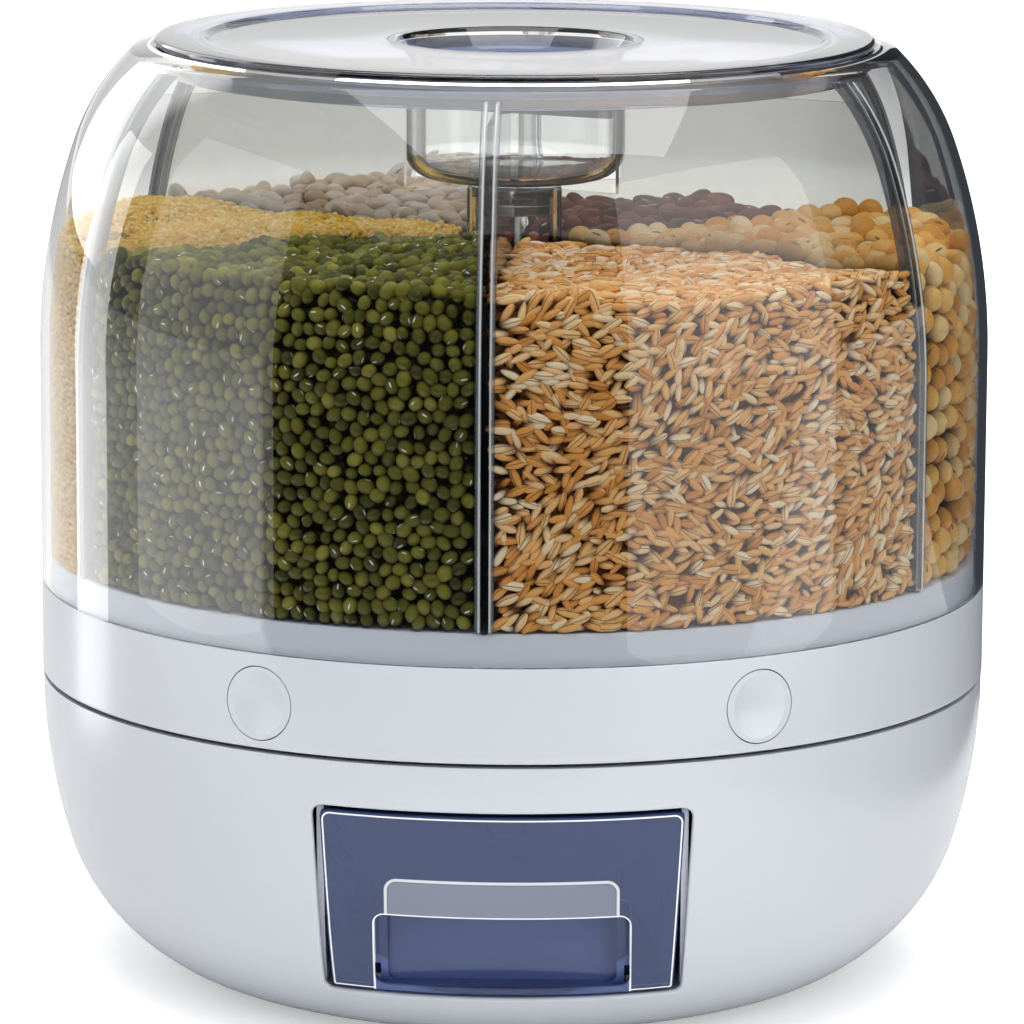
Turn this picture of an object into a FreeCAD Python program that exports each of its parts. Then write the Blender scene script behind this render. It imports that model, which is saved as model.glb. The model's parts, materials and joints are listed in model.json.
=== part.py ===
"""Rotating grain dispenser: a round six-compartment canister that turns on a base with a drawer.

Frame: millimetres, +Z up, origin on the table under the centre of the base.
The drawer faces -Y. Angles are measured about Z from the front, positive towards +X.
"""

import FreeCAD
import Part
import math
import os

from FreeCAD import Vector

UP = Vector(0, 0, 1)
CENTRE = Vector(0, 0, 0)

# Driving dimensions
OUTER_R = 145.0
FOOT_H = 2.0
BASE_RIM_Z = 94.1
RING_Z0 = 95.3
RING_Z1 = 123.4
TRAY_FLOOR_Z = 133.0
LID_TOP_Z = 289.3
SECTORS = 6
STEP_DEG = 360.0 / SECTORS

# At rest the ring stands between two stops, and the dividers stand a little off its middle.
RING_TURN = 0.75
DIVIDER_TURN = RING_TURN - 2.85

# Fits
RUN_FIT = 0.05
BODY_GAP = 0.3
SAME_BODY_GAP = 0.1

# Walls
SHELL_T = 3.0
OPENING_EDGE_R = 0.8
FRONT_EDGE_R = 0.5
BARREL_T = 2.4
TRAY_T = 2.2
RING_INNER_R = 142.2
TRAY_R = 141.9

# Feet and screws
FOOT_R = 9.0
FOOT_SEAT = 1.2
FOOT_RING_R = 72.0
FOOT_EDGE_R = 0.8
SCREW_R = 1.5
SCREW_SLOT_HALF = (2.0, 0.4)
SCREW_SLOT_DEPTH = 0.9
SCREW_LENGTH = 12.0
DECK_SCREW_R = 135.0
DECK_SCREW_HEAD = (2.6, 1.2)
BOSS_R = 5.0
BOSS_Z0 = 60.0
BOSS_HOLE_Z0 = 72.0
TRAY_SCREW_R = 126.0
TRAY_SCREW_HEAD = (2.6, 0.8)
TRAY_SCREW_SEAT = 0.9
TRAY_SCREW_BITE = 6.0
TRAY_FOOT_R = 4.0

# Base bowl: three tangent arcs from the rim down to the flat bottom
BOWL_R = 144.8
BOWL_ARC_1 = (171.0, 17.0)
BOWL_ARC_2 = (63.0, 60.0)

# Barrel dome: a straight wall, then two tangent arcs up to the mouth
BARREL_STRAIGHT_Z = 193.6
DOME_ARC_1 = (193.0, 19.4)
DOME_ARC_2 = (72.0, 50.0)
MOUTH_EDGE_R = 109.7
MOUTH_LEDGE_Z = 286.2
NECK_R = 104.0
NECK_Z0 = 278.3
LEDGE_T = 3.0

# Drawer and its opening in the bowl
OPENING_Z = (20.5, 80.6)
OPENING_HALF_W = (52.0, 55.0)
OPENING_CORNER_R = 3.0
FRONT_GAP_SIDE = 2.2
FRONT_GAP_Z = 1.4
NOTCH_HALF_W = 37.1
NOTCH_TOP_Z = 48.0
POCKET_HALF_W = 33.3
POCKET_Z = (24.3, 59.0)
POCKET_BACK_Y = -116.0
POCKET_WALL = 2.2
POCKET_CORNER_R = 3.0
FLARE_TOP = (38.4, 51.3)
FLARE_BOTTOM = (44.3, 32.9)
BIN_HALF_W = 46.0
BIN_Y = (-113.8, -26.0)
BIN_Z = (24.0, 75.0)
BIN_T = 2.0
BIN_CORNER_R = 5.0
BAY_HALF_W = 51.8
BAY_BACK_Y = -22.0
BAY_FRONT_Y = -130.0
BAY_FLOOR_Z = 20.2
RUNNER_FRONT_Y = -104.0
RUNNER_X = 38.0
RUNNER_W = 4.0

# Deck, chute and centre bearing
DECK_Z = (90.0, 93.0)
DECK_R = 141.3
CHUTE_HALF_W = 23.0
CHUTE_Y = (-110.0, -90.0)
CHUTE_Z0 = 79.0
CHUTE_T = 1.6
CHUTE_FLANGE = 6.0
CHUTE_DRAFT = (3.0, 1.0)
BALL_R = 2.5
BALL_Z = 96.2
BALL_TRACK_R = 64.0
BALL_COUNT = 24
CAGE_HALF_W = 4.2
CAGE_HALF_T = 0.6
RACE_HALF_W = 5.0
RACE_T = 2.0
SPINDLE_R = 9.0
SPINDLE_Z = (84.0, 108.3)
SPINDLE_FLANGE_R = 18.0
SPINDLE_FLANGE_T = 3.0
SPINDLE_HOLE_Z0 = 94.0
SPINDLE_SCREW_HEAD = (5.0, 2.6)
WASHER_T = 1.5
HUB_R = 14.0
WEB_Z = (99.4, 101.6)

# Outlets, gates and buttons
OUTLET_R = 100.0
OUTLET_RADIAL = 9.0
OUTLET_HALF_W = 18.0
WELL_Z0 = 117.4
WELL_T = 1.8
TRAY_FOOT_Z = 119.0
TRAY_SKIRT_Z = 121.6
GATE_T = 2.2
GATE_Z = WELL_Z0 - BODY_GAP - GATE_T / 2
GATE_TRAVEL = 10.0
GATE_R = (90.0, 118.0)
GATE_HALF_W = 20.5
BUTTON_R = 10.75
BUTTON_Z = 108.7
BUTTON_BACK = 134.0
BUTTON_DISH = 1.4
BUTTON_LAND = 1.2
BUTTON_GAP = 0.35
SLEEVE_IN = 123.0
SLEEVE_T = 1.7
STEM_HALF_W = 5.5
STEM_FOOT_T = 2.0
TAB_HALF = 5.0
TAB_HALF_H = 4.0
ANCHOR_HALF_W = 6.0
ANCHOR_T = 4.0
SPRING_R = 3.0
SPRING_WIRE = 1.2
SPRING_TURNS = 7
SPRING_IN = 62.0
SPRING_TAB = 88.0

# Column, dividers and guide ribs
COLUMN_R = 14.5
COLUMN_T = 1.9
COLUMN_TOP_Z = 241.0
COLUMN_PLUG_H = 6.0
COLUMN_CAP_T = 2.4
SOCKET_T = 2.0
SOCKET_H = 5.0
PANEL_FIT = 0.1
DIVIDER_T = 1.8
DIVIDER_TOP_Z = 276.0
CUP_CLEAR_R = 37.0
RIB_T = 1.6
RIB_DEPTH = 3.6
RIB_TOP_Z = 272.0

# Lid
LID_R = 109.1
LID_T = 2.6
LID_STEP_R = 93.0
LID_STEP_Z = 287.9
CUP_MOUTH_R = 39.0
CUP_R = 33.8
CUP_T = 2.4
CUP_BOTTOM_Z = 246.0
CUP_CORNER_R = 9.0
CUP_FLARE_R = 5.0
CUP_FLARE_H = 8.0
SKIRT_R = 98.0
SKIRT_T = 2.2
SKIRT_Z0 = 279.4
BEAD_OUT = 0.8
BEAD_H = 1.6
SEAL_T = 2.4
SEAL_LIP = 1.2
GRIP_TURN = -27.0
GRIP_Z = (266.0, 279.0)
GRIP_HALF_T = 3.6

# Grain: one heap per compartment, with its top's height, in order from the front towards +X
HEAPS = (
    ("oat_heap", 228.5),
    ("soybean_heap", 230.5),
    ("red_bean_heap", 223.0),
    ("beige_bean_heap", 230.0),
    ("millet_heap", 230.0),
    ("mung_bean_heap", 232.0),
)
HEAP_R = (16.9, 142.3)
HEAP_SIDE_GAP = 3.0
HEAP_EDGE_R = 2.5

# Cutting tools reach past the object by this much
PAST = 30.0


def lathe(corners):
    """Turn a closed outline about Z. Each corner is (r, z), or (r, z, radius) to round it."""
    count = len(corners)
    starts = []
    ends = []
    arcs = []
    for i, corner in enumerate(corners):
        here = Vector(corner[0], 0, corner[1])
        if len(corner) == 2:
            starts.append(here)
            ends.append(here)
            arcs.append(None)
            continue
        before = corners[i - 1]
        after = corners[(i + 1) % count]
        back = (Vector(before[0], 0, before[1]) - here).normalize()
        ahead = (Vector(after[0], 0, after[1]) - here).normalize()
        half = back.getAngle(ahead) / 2
        reach = corner[2] / math.tan(half)
        first = here + back * reach
        last = here + ahead * reach
        bisector = (back + ahead).normalize()
        middle = here + bisector * (corner[2] / math.sin(half) - corner[2])
        starts.append(first)
        ends.append(last)
        arcs.append(Part.Arc(first, middle, last).toShape())
    edges = []
    for i in range(count):
        if arcs[i]:
            edges.append(arcs[i])
        nxt = starts[(i + 1) % count]
        if (nxt - ends[i]).Length > 1e-6:
            edges.append(Part.LineSegment(ends[i], nxt).toShape())
    return Part.Face(Part.Wire(edges)).revolve(CENTRE, UP, 360)


def ring(r0, r1, z0, z1, edge=0.0):
    """A flat ring, with its outer edges rounded if edge is given."""
    if edge:
        return lathe([(r0, z0), (r1, z0, edge), (r1, z1, edge), (r0, z1)])
    return lathe([(r0, z0), (r1, z0), (r1, z1), (r0, z1)])


def cylinder(r, z0, z1, x=0.0, y=0.0):
    return Part.makeCylinder(r, z1 - z0, Vector(x, y, z0))


def box(x0, x1, y0, y1, z0, z1):
    return Part.makeBox(x1 - x0, y1 - y0, z1 - z0, Vector(x0, y0, z0))


def turned(shape, degrees):
    """A copy turned about Z, from the front towards +X."""
    copy = shape.copy()
    copy.rotate(CENTRE, UP, degrees)
    return copy


def sector_angles(offset):
    return [offset + STEP_DEG * k for k in range(SECTORS)]


def tangent_arcs(r, z, arcs, wall, side):
    """Edges of tangent arcs that bend inwards from the vertical. side is -1 downwards and 1 upwards.

    Each arc is (radius, end angle from the vertical). wall offsets the whole chain inwards.
    """
    edges = []
    angle = 0.0
    point = Vector(r - wall, 0, z)
    for radius, end in arcs:
        centre_r = point.x - (radius - wall) * math.cos(angle)
        centre_z = point.z - side * (radius - wall) * math.sin(angle)
        stop = math.radians(end)
        middle = (angle + stop) / 2
        through = Vector(
            centre_r + (radius - wall) * math.cos(middle),
            0,
            centre_z + side * (radius - wall) * math.sin(middle),
        )
        last = Vector(
            centre_r + (radius - wall) * math.cos(stop),
            0,
            centre_z + side * (radius - wall) * math.sin(stop),
        )
        edges.append(Part.Arc(point, through, last).toShape())
        point = last
        angle = stop
    return edges, point


def bowl_arcs():
    """The bowl's three arcs. The last one's radius closes the height that is left down to the feet."""
    z = BASE_RIM_Z
    angle = 0.0
    for radius, end in (BOWL_ARC_1, BOWL_ARC_2):
        stop = math.radians(end)
        z -= radius * (math.sin(stop) - math.sin(angle))
        angle = stop
    last = (z - FOOT_H) / (1 - math.sin(angle))
    return [BOWL_ARC_1, BOWL_ARC_2, (last, 90.0)]


def bowl_solid(wall=0.0):
    """Everything inside the bowl's outer surface, or inside a surface that lies wall further in."""
    edges, end = tangent_arcs(BOWL_R, BASE_RIM_Z, bowl_arcs(), wall, -1)
    top = Vector(BOWL_R - wall, 0, BASE_RIM_Z)
    axis_low = Vector(0, 0, end.z)
    axis_high = Vector(0, 0, BASE_RIM_Z)
    edges.append(Part.LineSegment(end, axis_low).toShape())
    edges.append(Part.LineSegment(axis_low, axis_high).toShape())
    edges.append(Part.LineSegment(axis_high, top).toShape())
    return Part.Face(Part.Wire(edges)).revolve(CENTRE, UP, 360)


def dome_solid(wall=0.0):
    """Everything inside the barrel's outer surface, or inside a surface that lies wall further in."""
    low = Vector(OUTER_R - wall, 0, RING_Z1)
    start = Vector(OUTER_R - wall, 0, BARREL_STRAIGHT_Z)
    edges, end = tangent_arcs(OUTER_R, BARREL_STRAIGHT_Z, (DOME_ARC_1, DOME_ARC_2), wall, 1)
    axis_high = Vector(0, 0, end.z)
    axis_low = Vector(0, 0, RING_Z1)
    edges.insert(0, Part.LineSegment(low, start).toShape())
    edges.append(Part.LineSegment(end, axis_high).toShape())
    edges.append(Part.LineSegment(axis_high, axis_low).toShape())
    edges.append(Part.LineSegment(axis_low, low).toShape())
    return Part.Face(Part.Wire(edges)).revolve(CENTRE, UP, 360)


def front_prism(outline, radius, y0=-OUTER_R - PAST, y1=-OUTER_R / 2):
    """A prism along Y over an outline of (x, z) corners, its edges along Y rounded by radius."""
    corners = [Vector(x, y0, z) for x, z in outline]
    face = Part.Face(Part.makePolygon(corners + corners[:1]))
    prism = face.extrude(Vector(0, y1 - y0, 0))
    if not radius:
        return prism
    along = [e for e in prism.Edges if abs(abs(e.tangentAt(e.FirstParameter).y) - 1) < 1e-6]
    return prism.makeFillet(radius, along)


def opening_outline(side, gap_z):
    """The opening's trapezium, drawn in by side at its sides and by gap_z at its top and bottom."""
    low, high = OPENING_Z
    w0, w1 = OPENING_HALF_W
    return [
        (-w0 + side, low + gap_z),
        (w0 - side, low + gap_z),
        (w1 - side, high - gap_z),
        (-w1 + side, high - gap_z),
    ]


def foot_places():
    return [turned_point(0, -FOOT_RING_R, a) for a in (45, 135, 225, 315)]


def deck_screw_places():
    return [turned_point(0, -DECK_SCREW_R, a) for a in sector_angles(30)]


def tray_screw_places():
    return [turned_point(0, -TRAY_SCREW_R, a) for a in sector_angles(RING_TURN)]


def button_angles():
    return sector_angles(RING_TURN - STEP_DEG / 2)


def divider_angles():
    return sector_angles(DIVIDER_TURN)


def round_front_edges(shape, radius):
    """Round the edges that cut through the bowl's outer surface at the front."""
    surface = bowl_solid().Shells[0]
    edges = []
    for edge in shape.Edges:
        bounds = edge.BoundBox
        first, last = edge.ParameterRange
        middle = edge.valueAt((first + last) / 2)
        at_front = bounds.YMax < -OUTER_R / 2
        inside = bounds.ZMax < BASE_RIM_Z - SHELL_T and bounds.ZMin > FOOT_H + SHELL_T
        if at_front and inside and surface.distToShape(Part.Vertex(middle))[0] < 1e-3:
            edges.append(edge)
    return shape.makeFillet(radius, edges)


def base_shell():
    """The white bowl, with the drawer's opening, six screw bosses and four recesses for the feet."""
    shell = bowl_solid().cut(bowl_solid(SHELL_T))
    shell = shell.cut(front_prism(opening_outline(0, 0), OPENING_CORNER_R))
    shell = round_front_edges(shell, OPENING_EDGE_R)
    bosses = []
    for x, y in deck_screw_places():
        boss = cylinder(BOSS_R, BOSS_Z0, DECK_Z[0], x, y).common(bowl_solid(SHELL_T - 0.5))
        bosses.append(boss.cut(cylinder(SCREW_R, BOSS_HOLE_Z0, DECK_Z[0] + 1, x, y)))
    shell = shell.fuse(bosses)
    for x, y in foot_places():
        shell = shell.cut(cylinder(FOOT_R + 0.2, FOOT_H - 1, FOOT_H + FOOT_SEAT, x, y))
    return shell


def rubber_feet():
    high = FOOT_H + FOOT_SEAT
    feet = []
    for x, y in foot_places():
        foot = lathe([(0, 0), (FOOT_R, 0, FOOT_EDGE_R), (FOOT_R, high), (0, high)])
        foot.translate(Vector(x, y, 0))
        feet.append(foot)
    return Part.makeCompound(feet)


def base_deck():
    """The floor that the canister turns on, with holes for the spindle, the chute and six screws."""
    low = DECK_Z[0] - PAST
    high = DECK_Z[1] + PAST
    cuts = [
        cylinder(SPINDLE_R + SAME_BODY_GAP, low, high),
        box(-CHUTE_HALF_W, CHUTE_HALF_W, *CHUTE_Y, low, high),
    ]
    for x, y in deck_screw_places():
        cuts.append(cylinder(SCREW_R + 0.2, low, high, x, y))
    return cylinder(DECK_R, *DECK_Z).cut(cuts)


def screw(x, y, seat_z, length, head):
    """A pan-head screw pointing down, with a cross recess. head is its radius and height."""
    radius, height = head
    top = seat_z + height
    body = cylinder(SCREW_R - SAME_BODY_GAP, seat_z - length, seat_z, x, y)
    pan = lathe([(0, seat_z), (radius, seat_z), (radius, top, min(0.9, height * 0.75)), (0, top)])
    pan.translate(Vector(x, y, 0))
    long, short = SCREW_SLOT_HALF
    slot_z = top - SCREW_SLOT_DEPTH
    one = box(x - long, x + long, y - short, y + short, slot_z, top + 1)
    other = box(x - short, x + short, y - long, y + long, slot_z, top + 1)
    return body.fuse(pan).cut([one, other])


def deck_screws():
    screws = [screw(x, y, DECK_Z[1], SCREW_LENGTH, DECK_SCREW_HEAD) for x, y in deck_screw_places()]
    return Part.makeCompound(screws)


def chute():
    """A short square funnel that hangs under the hole in the deck."""
    y0, y1 = CHUTE_Y
    wide = CHUTE_HALF_W + CHUTE_FLANGE
    high = DECK_Z[0]
    flange = box(-wide, wide, y0 - CHUTE_FLANGE + 1, y1 + CHUTE_FLANGE, high - CHUTE_T, high)
    flange = flange.common(bowl_solid(SHELL_T + SAME_BODY_GAP))
    front_draft, back_draft = CHUTE_DRAFT
    half = CHUTE_HALF_W
    t = CHUTE_T
    top = rectangle(half + t, y0 - t, y1 + t, high - t)
    low = rectangle(half - front_draft + t, y0 + front_draft - t, y1 - back_draft + t, CHUTE_Z0)
    outside = Part.makeLoft([top, low], True, True)
    top = rectangle(half, y0, y1, high)
    low = rectangle(half - front_draft, y0 + front_draft, y1 - back_draft, CHUTE_Z0)
    inside = Part.makeLoft([top, low], True, True)
    return flange.fuse(outside).cut(inside)


def drawer_bay():
    """Floor, two sides and a back wall round the drawer, with two runners under it."""
    half = BAY_HALF_W
    t = BIN_T
    outer = box(-half - t, half + t, BAY_FRONT_Y, BAY_BACK_Y + t, BAY_FLOOR_Z - t, DECK_Z[0])
    inner = box(-half, half, BAY_FRONT_Y - 1, BAY_BACK_Y, BAY_FLOOR_Z, DECK_Z[0] + 1)
    bay = outer.cut(inner).common(bowl_solid(SHELL_T + SAME_BODY_GAP))
    top = BIN_Z[0] - BODY_GAP
    runners = []
    for x in (-RUNNER_X, RUNNER_X):
        x0, x1 = x - RUNNER_W / 2, x + RUNNER_W / 2
        runners.append(box(x0, x1, RUNNER_FRONT_Y, BAY_BACK_Y, BAY_FLOOR_Z, top))
    return bay.fuse(runners)


def lower_race():
    return race(DECK_Z[1], DECK_Z[1] + RACE_T)


def upper_race():
    return race(WEB_Z[0] - RACE_T, WEB_Z[0])


def race(z0, z1):
    """A flat ring with half of the balls' groove in it."""
    groove = Part.makeTorus(BALL_TRACK_R, BALL_R + RUN_FIT, Vector(0, 0, BALL_Z))
    return ring(BALL_TRACK_R - RACE_HALF_W, BALL_TRACK_R + RACE_HALF_W, z0, z1).cut(groove)


def ball_places():
    return [turned_point(0, -BALL_TRACK_R, 360 * k / BALL_COUNT) for k in range(BALL_COUNT)]


def ball_cage():
    """The flat ring that keeps the balls apart."""
    z0, z1 = BALL_Z - CAGE_HALF_T, BALL_Z + CAGE_HALF_T
    cage = ring(BALL_TRACK_R - CAGE_HALF_W, BALL_TRACK_R + CAGE_HALF_W, z0, z1)
    holes = [cylinder(BALL_R + SAME_BODY_GAP, z0 - 1, z1 + 1, x, y) for x, y in ball_places()]
    return cage.cut(holes)


def bearing_balls():
    balls = [Part.makeSphere(BALL_R, Vector(x, y, BALL_Z)) for x, y in ball_places()]
    return Part.makeCompound(balls)


def spindle():
    """The post that the canister turns on, let into the deck from below."""
    low, high = SPINDLE_Z
    post = lathe([(0, low), (SPINDLE_R, low), (SPINDLE_R, high, 0.4), (0, high)])
    flange = cylinder(SPINDLE_FLANGE_R, DECK_Z[0] - SPINDLE_FLANGE_T, DECK_Z[0])
    return post.fuse(flange).cut(cylinder(SCREW_R, SPINDLE_HOLE_Z0, high + 1))


def spindle_washer():
    return ring(SCREW_R + SAME_BODY_GAP, HUB_R - 1, SPINDLE_Z[1], SPINDLE_Z[1] + WASHER_T)


def spindle_screw():
    return screw(0, 0, SPINDLE_Z[1] + WASHER_T, SCREW_LENGTH, SPINDLE_SCREW_HEAD)


def drawer_front():
    """The curved front with its finger notch, and the pocket behind it that the fingers hook into."""
    full = bowl_solid()
    inner = bowl_solid(SHELL_T)
    far = -OUTER_R - PAST
    outline = opening_outline(FRONT_GAP_SIDE, FRONT_GAP_Z)
    prism = front_prism(outline, OPENING_CORNER_R - 1)
    panel = full.cut(inner).common(prism)
    low = outline[0][1]
    back = POCKET_BACK_Y + POCKET_WALL
    side = POCKET_HALF_W + POCKET_WALL
    roof = POCKET_Z[1] + POCKET_WALL
    flare_low = FLARE_BOTTOM[1] - POCKET_WALL
    half = [
        (side, low),
        (side, flare_low),
        (FLARE_BOTTOM[0], flare_low),
        FLARE_BOTTOM,
        FLARE_TOP,
        (side, FLARE_TOP[1] + POCKET_CORNER_R),
        (side, roof),
    ]
    mirrored = [(-x, z) for x, z in reversed(half)]
    housing = front_prism(half + mirrored, 0, far, back).common(full).common(prism)
    z0, z1 = POCKET_Z
    hollow = front_prism(rectangle_corners(POCKET_HALF_W, z0, z1), POCKET_CORNER_R, far, POCKET_BACK_Y)
    notch_outline = rectangle_corners(NOTCH_HALF_W, z0, NOTCH_TOP_Z)
    notch = front_prism(notch_outline, POCKET_CORNER_R, far)
    hollow = hollow.common(inner)
    front = panel.fuse(housing).cut(hollow)
    front = front.cut(notch.cut(inner)).removeSplitter()
    return round_front_edges(front, FRONT_EDGE_R)


def rectangle_corners(half_w, z0, z1):
    """Corners of a rectangle that lies evenly about the middle plane."""
    return [(-half_w, z0), (half_w, z0), (half_w, z1), (-half_w, z1)]


def drawer_bin():
    """The open box behind the front that the grain falls into."""
    y0, y1 = BIN_Y
    z0, z1 = BIN_Z
    t = BIN_T
    outer = rounded_box(BIN_HALF_W, y0, y1, z0, z1, BIN_CORNER_R)
    inner = rounded_box(BIN_HALF_W - t, y0 + t, y1 - t, z0 + t, z1 + 1, BIN_CORNER_R - 1)
    return outer.cut(inner)


def radial_bar(r0, r1, radius):
    """A round bar along -Y at the button's height."""
    return Part.makeCylinder(radius, r1 - r0, Vector(0, -r0, BUTTON_Z), Vector(0, -1, 0))


def turn_ring():
    """The white ring that carries the barrel, with its web, hub, drop chutes and button sleeves."""
    z0, z1 = RING_Z0, RING_Z1
    wall = lathe([(RING_INNER_R, z0), (OUTER_R, z0, 0.8), (OUTER_R, z1, 0.5), (RING_INNER_R, z1)])
    web = ring(SPINDLE_R + RUN_FIT, RING_INNER_R + 1, *WEB_Z)
    hub = ring(SPINDLE_R + RUN_FIT, HUB_R, WEB_Z[0], SPINDLE_Z[1] - BODY_GAP)
    body = wall.fuse([web, hub])
    posts = []
    cuts = []
    for x, y in tray_screw_places():
        posts.append(cylinder(TRAY_FOOT_R, WEB_Z[0], TRAY_FOOT_Z, x, y))
        cuts.append(cylinder(SCREW_R, WEB_Z[0] - 1, TRAY_FOOT_Z + 1, x, y))
        cuts.append(cylinder(TRAY_SCREW_HEAD[0] + 0.4, WEB_Z[0] - 1, WEB_Z[0] + TRAY_SCREW_SEAT, x, y))
    for angle in button_angles():
        posts.append(turned(outlet_tube(WEB_Z[0], WELL_Z0 - GATE_T - 2 * BODY_GAP), angle))
        cuts.append(turned(outlet_hole(RING_Z0, RING_Z1), angle))
        sleeve = radial_bar(SLEEVE_IN + 6, RING_INNER_R + 1, BUTTON_R + SLEEVE_T)
        posts.append(turned(sleeve, angle))
        cuts.append(turned(radial_bar(SLEEVE_IN, OUTER_R + PAST, BUTTON_R + BUTTON_GAP), angle))
        anchor = box(
            -ANCHOR_HALF_W, ANCHOR_HALF_W, -SPRING_IN, -SPRING_IN + ANCHOR_T, WEB_Z[0], GATE_Z + TAB_HALF_H
        )
        posts.append(turned(anchor, angle))
    body = body.fuse(posts)
    return body.cut(cuts)


def outlet_hole(z0, z1, grow=0.0):
    wide = OUTLET_HALF_W + grow
    deep = OUTLET_RADIAL / 2 + grow
    return box(-wide, wide, -OUTLET_R - deep, -OUTLET_R + deep, z0, z1)


def outlet_tube(z0, z1):
    return outlet_hole(z0, z1, WELL_T)


def floor_tray():
    """The floor of the six compartments, with an outlet well in each and a socket for the column."""
    z = TRAY_FLOOR_Z
    plate = lathe([
        (0, z - TRAY_T),
        (TRAY_R - TRAY_T, z - TRAY_T),
        (TRAY_R - TRAY_T, TRAY_SKIRT_Z),
        (TRAY_R, TRAY_SKIRT_Z),
        (TRAY_R, z, 0.8),
        (0, z),
    ])
    adds = [ring(COLUMN_R + SAME_BODY_GAP, COLUMN_R + SOCKET_T, z - 0.5, z + SOCKET_H)]
    cuts = []
    for angle in button_angles():
        adds.append(turned(outlet_tube(WELL_Z0, z - 1), angle))
        cuts.append(turned(outlet_hole(WELL_Z0 - 1, z + 1), angle))
    for x, y in tray_screw_places():
        adds.append(cylinder(TRAY_FOOT_R, TRAY_FOOT_Z, z - 1, x, y))
        cuts.append(cylinder(SCREW_R, TRAY_FOOT_Z - 1, TRAY_FOOT_Z + TRAY_SCREW_BITE + 2, x, y))
    wide = DIVIDER_T / 2 + PANEL_FIT
    for angle in divider_angles():
        cuts.append(turned(box(-wide, wide, -COLUMN_R - SOCKET_T - 1, 0, z, z + SOCKET_H + 1), angle))
    return plate.fuse(adds).cut(cuts)


def tray_screws():
    """Screws from below, through the web into the tray's feet."""
    screws = []
    for x, y in tray_screw_places():
        seat = WEB_Z[0] + TRAY_SCREW_SEAT
        one = screw(0, 0, 0, TRAY_FOOT_Z + TRAY_SCREW_BITE - seat, TRAY_SCREW_HEAD)
        one.rotate(CENTRE, Vector(1, 0, 0), 180)
        one.translate(Vector(x, y, seat))
        screws.append(one)
    return Part.makeCompound(screws)


def barrel():
    """The clear dome with its mouth, neck and six pairs of guide ribs."""
    high = LID_TOP_Z + PAST
    neck_low = NECK_Z0 - PAST / 4
    shell = dome_solid().cut(dome_solid(BARREL_T))
    mouth = dome_solid().cut(cylinder(NECK_R, neck_low, high))
    mouth = mouth.cut(cylinder(MOUTH_EDGE_R, MOUTH_LEDGE_Z, high))
    neck = ring(NECK_R, NECK_R + BARREL_T, NECK_Z0, high)
    ledge = ring(NECK_R, OUTER_R, MOUTH_LEDGE_Z - LEDGE_T, high)
    mouth = mouth.common(neck.fuse(ledge))
    shell = shell.cut(cylinder(MOUTH_EDGE_R, MOUTH_LEDGE_Z, high)).fuse(mouth)
    shell = shell.cut(cylinder(NECK_R, neck_low, high))
    rib_ring = dome_solid(BARREL_T - 0.4).cut(dome_solid(BARREL_T + RIB_DEPTH))
    rib_ring = rib_ring.common(ring(NECK_R - RIB_DEPTH, OUTER_R, TRAY_FLOOR_Z + 0.5, RIB_TOP_Z))
    ribs = []
    for angle in divider_angles():
        for side in (-1, 1):
            x = side * (DIVIDER_T / 2 + BODY_GAP + RIB_T / 2)
            slab = box(x - RIB_T / 2, x + RIB_T / 2, -OUTER_R, -OUTER_R / 2, RING_Z1, high)
            ribs.append(rib_ring.common(turned(slab, angle)))
    return shell.fuse(ribs)


def centre_column():
    return ring(COLUMN_R - COLUMN_T, COLUMN_R, TRAY_FLOOR_Z, COLUMN_TOP_Z)


def column_cap():
    """A plug with a flat head that closes the column."""
    z = COLUMN_TOP_Z
    plug = COLUMN_R - COLUMN_T - SAME_BODY_GAP
    return lathe([
        (0, z - COLUMN_PLUG_H),
        (plug, z - COLUMN_PLUG_H),
        (plug, z),
        (COLUMN_R, z),
        (COLUMN_R, z + COLUMN_CAP_T, 1.2),
        (0, z + COLUMN_CAP_T),
    ])


def divider(angle):
    """One clear panel. Its outer edge follows the barrel, and its top is stepped round the lid's cup."""
    x = DIVIDER_T / 2
    full = box(-x, x, -OUTER_R, -COLUMN_R - 0.3, TRAY_FLOOR_Z, DIVIDER_TOP_Z)
    full = full.common(dome_solid(BARREL_T + BODY_GAP))
    step = box(-x - 1, x + 1, -CUP_CLEAR_R, 0, COLUMN_TOP_Z + COLUMN_CAP_T, LID_TOP_Z)
    return turned(full.cut(step), angle)


def button(angle):
    """A round push button whose face follows the ring, with a shallow dish."""
    body = radial_bar(BUTTON_BACK, OUTER_R + PAST, BUTTON_R)
    body = body.common(cylinder(OUTER_R, RING_Z0, RING_Z1))
    sphere_r = (BUTTON_R - BUTTON_LAND) ** 2 / (2 * BUTTON_DISH)
    dish = Part.makeSphere(sphere_r, Vector(0, -OUTER_R - sphere_r + BUTTON_DISH, BUTTON_Z))
    return turned(body.cut(dish), angle)


def gate(angle):
    """The sliding plate behind a button. Its window meets the outlet when the button is pushed home."""
    z0, z1 = GATE_Z - GATE_T / 2, GATE_Z + GATE_T / 2
    plate = box(-GATE_HALF_W, GATE_HALF_W, -GATE_R[1], -GATE_R[0], z0, z1)
    window = outlet_hole(z0 - 1, z1 + 1)
    window.translate(Vector(0, -GATE_TRAVEL, 0))
    plate = plate.cut(window)
    half = STEM_HALF_W
    stem = box(-half, half, -BUTTON_BACK, -GATE_R[1] + 1, z0, z1)
    foot = box(-half, half, -BUTTON_BACK, -BUTTON_BACK + STEM_FOOT_T, BUTTON_Z - STEM_FOOT_T, z1)
    low, high = GATE_Z - TAB_HALF_H, GATE_Z + TAB_HALF_H
    tab = box(-TAB_HALF, TAB_HALF, -GATE_R[0] - 1, -SPRING_TAB, low, high)
    return turned(plate.fuse([stem, foot, tab]), angle)


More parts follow.
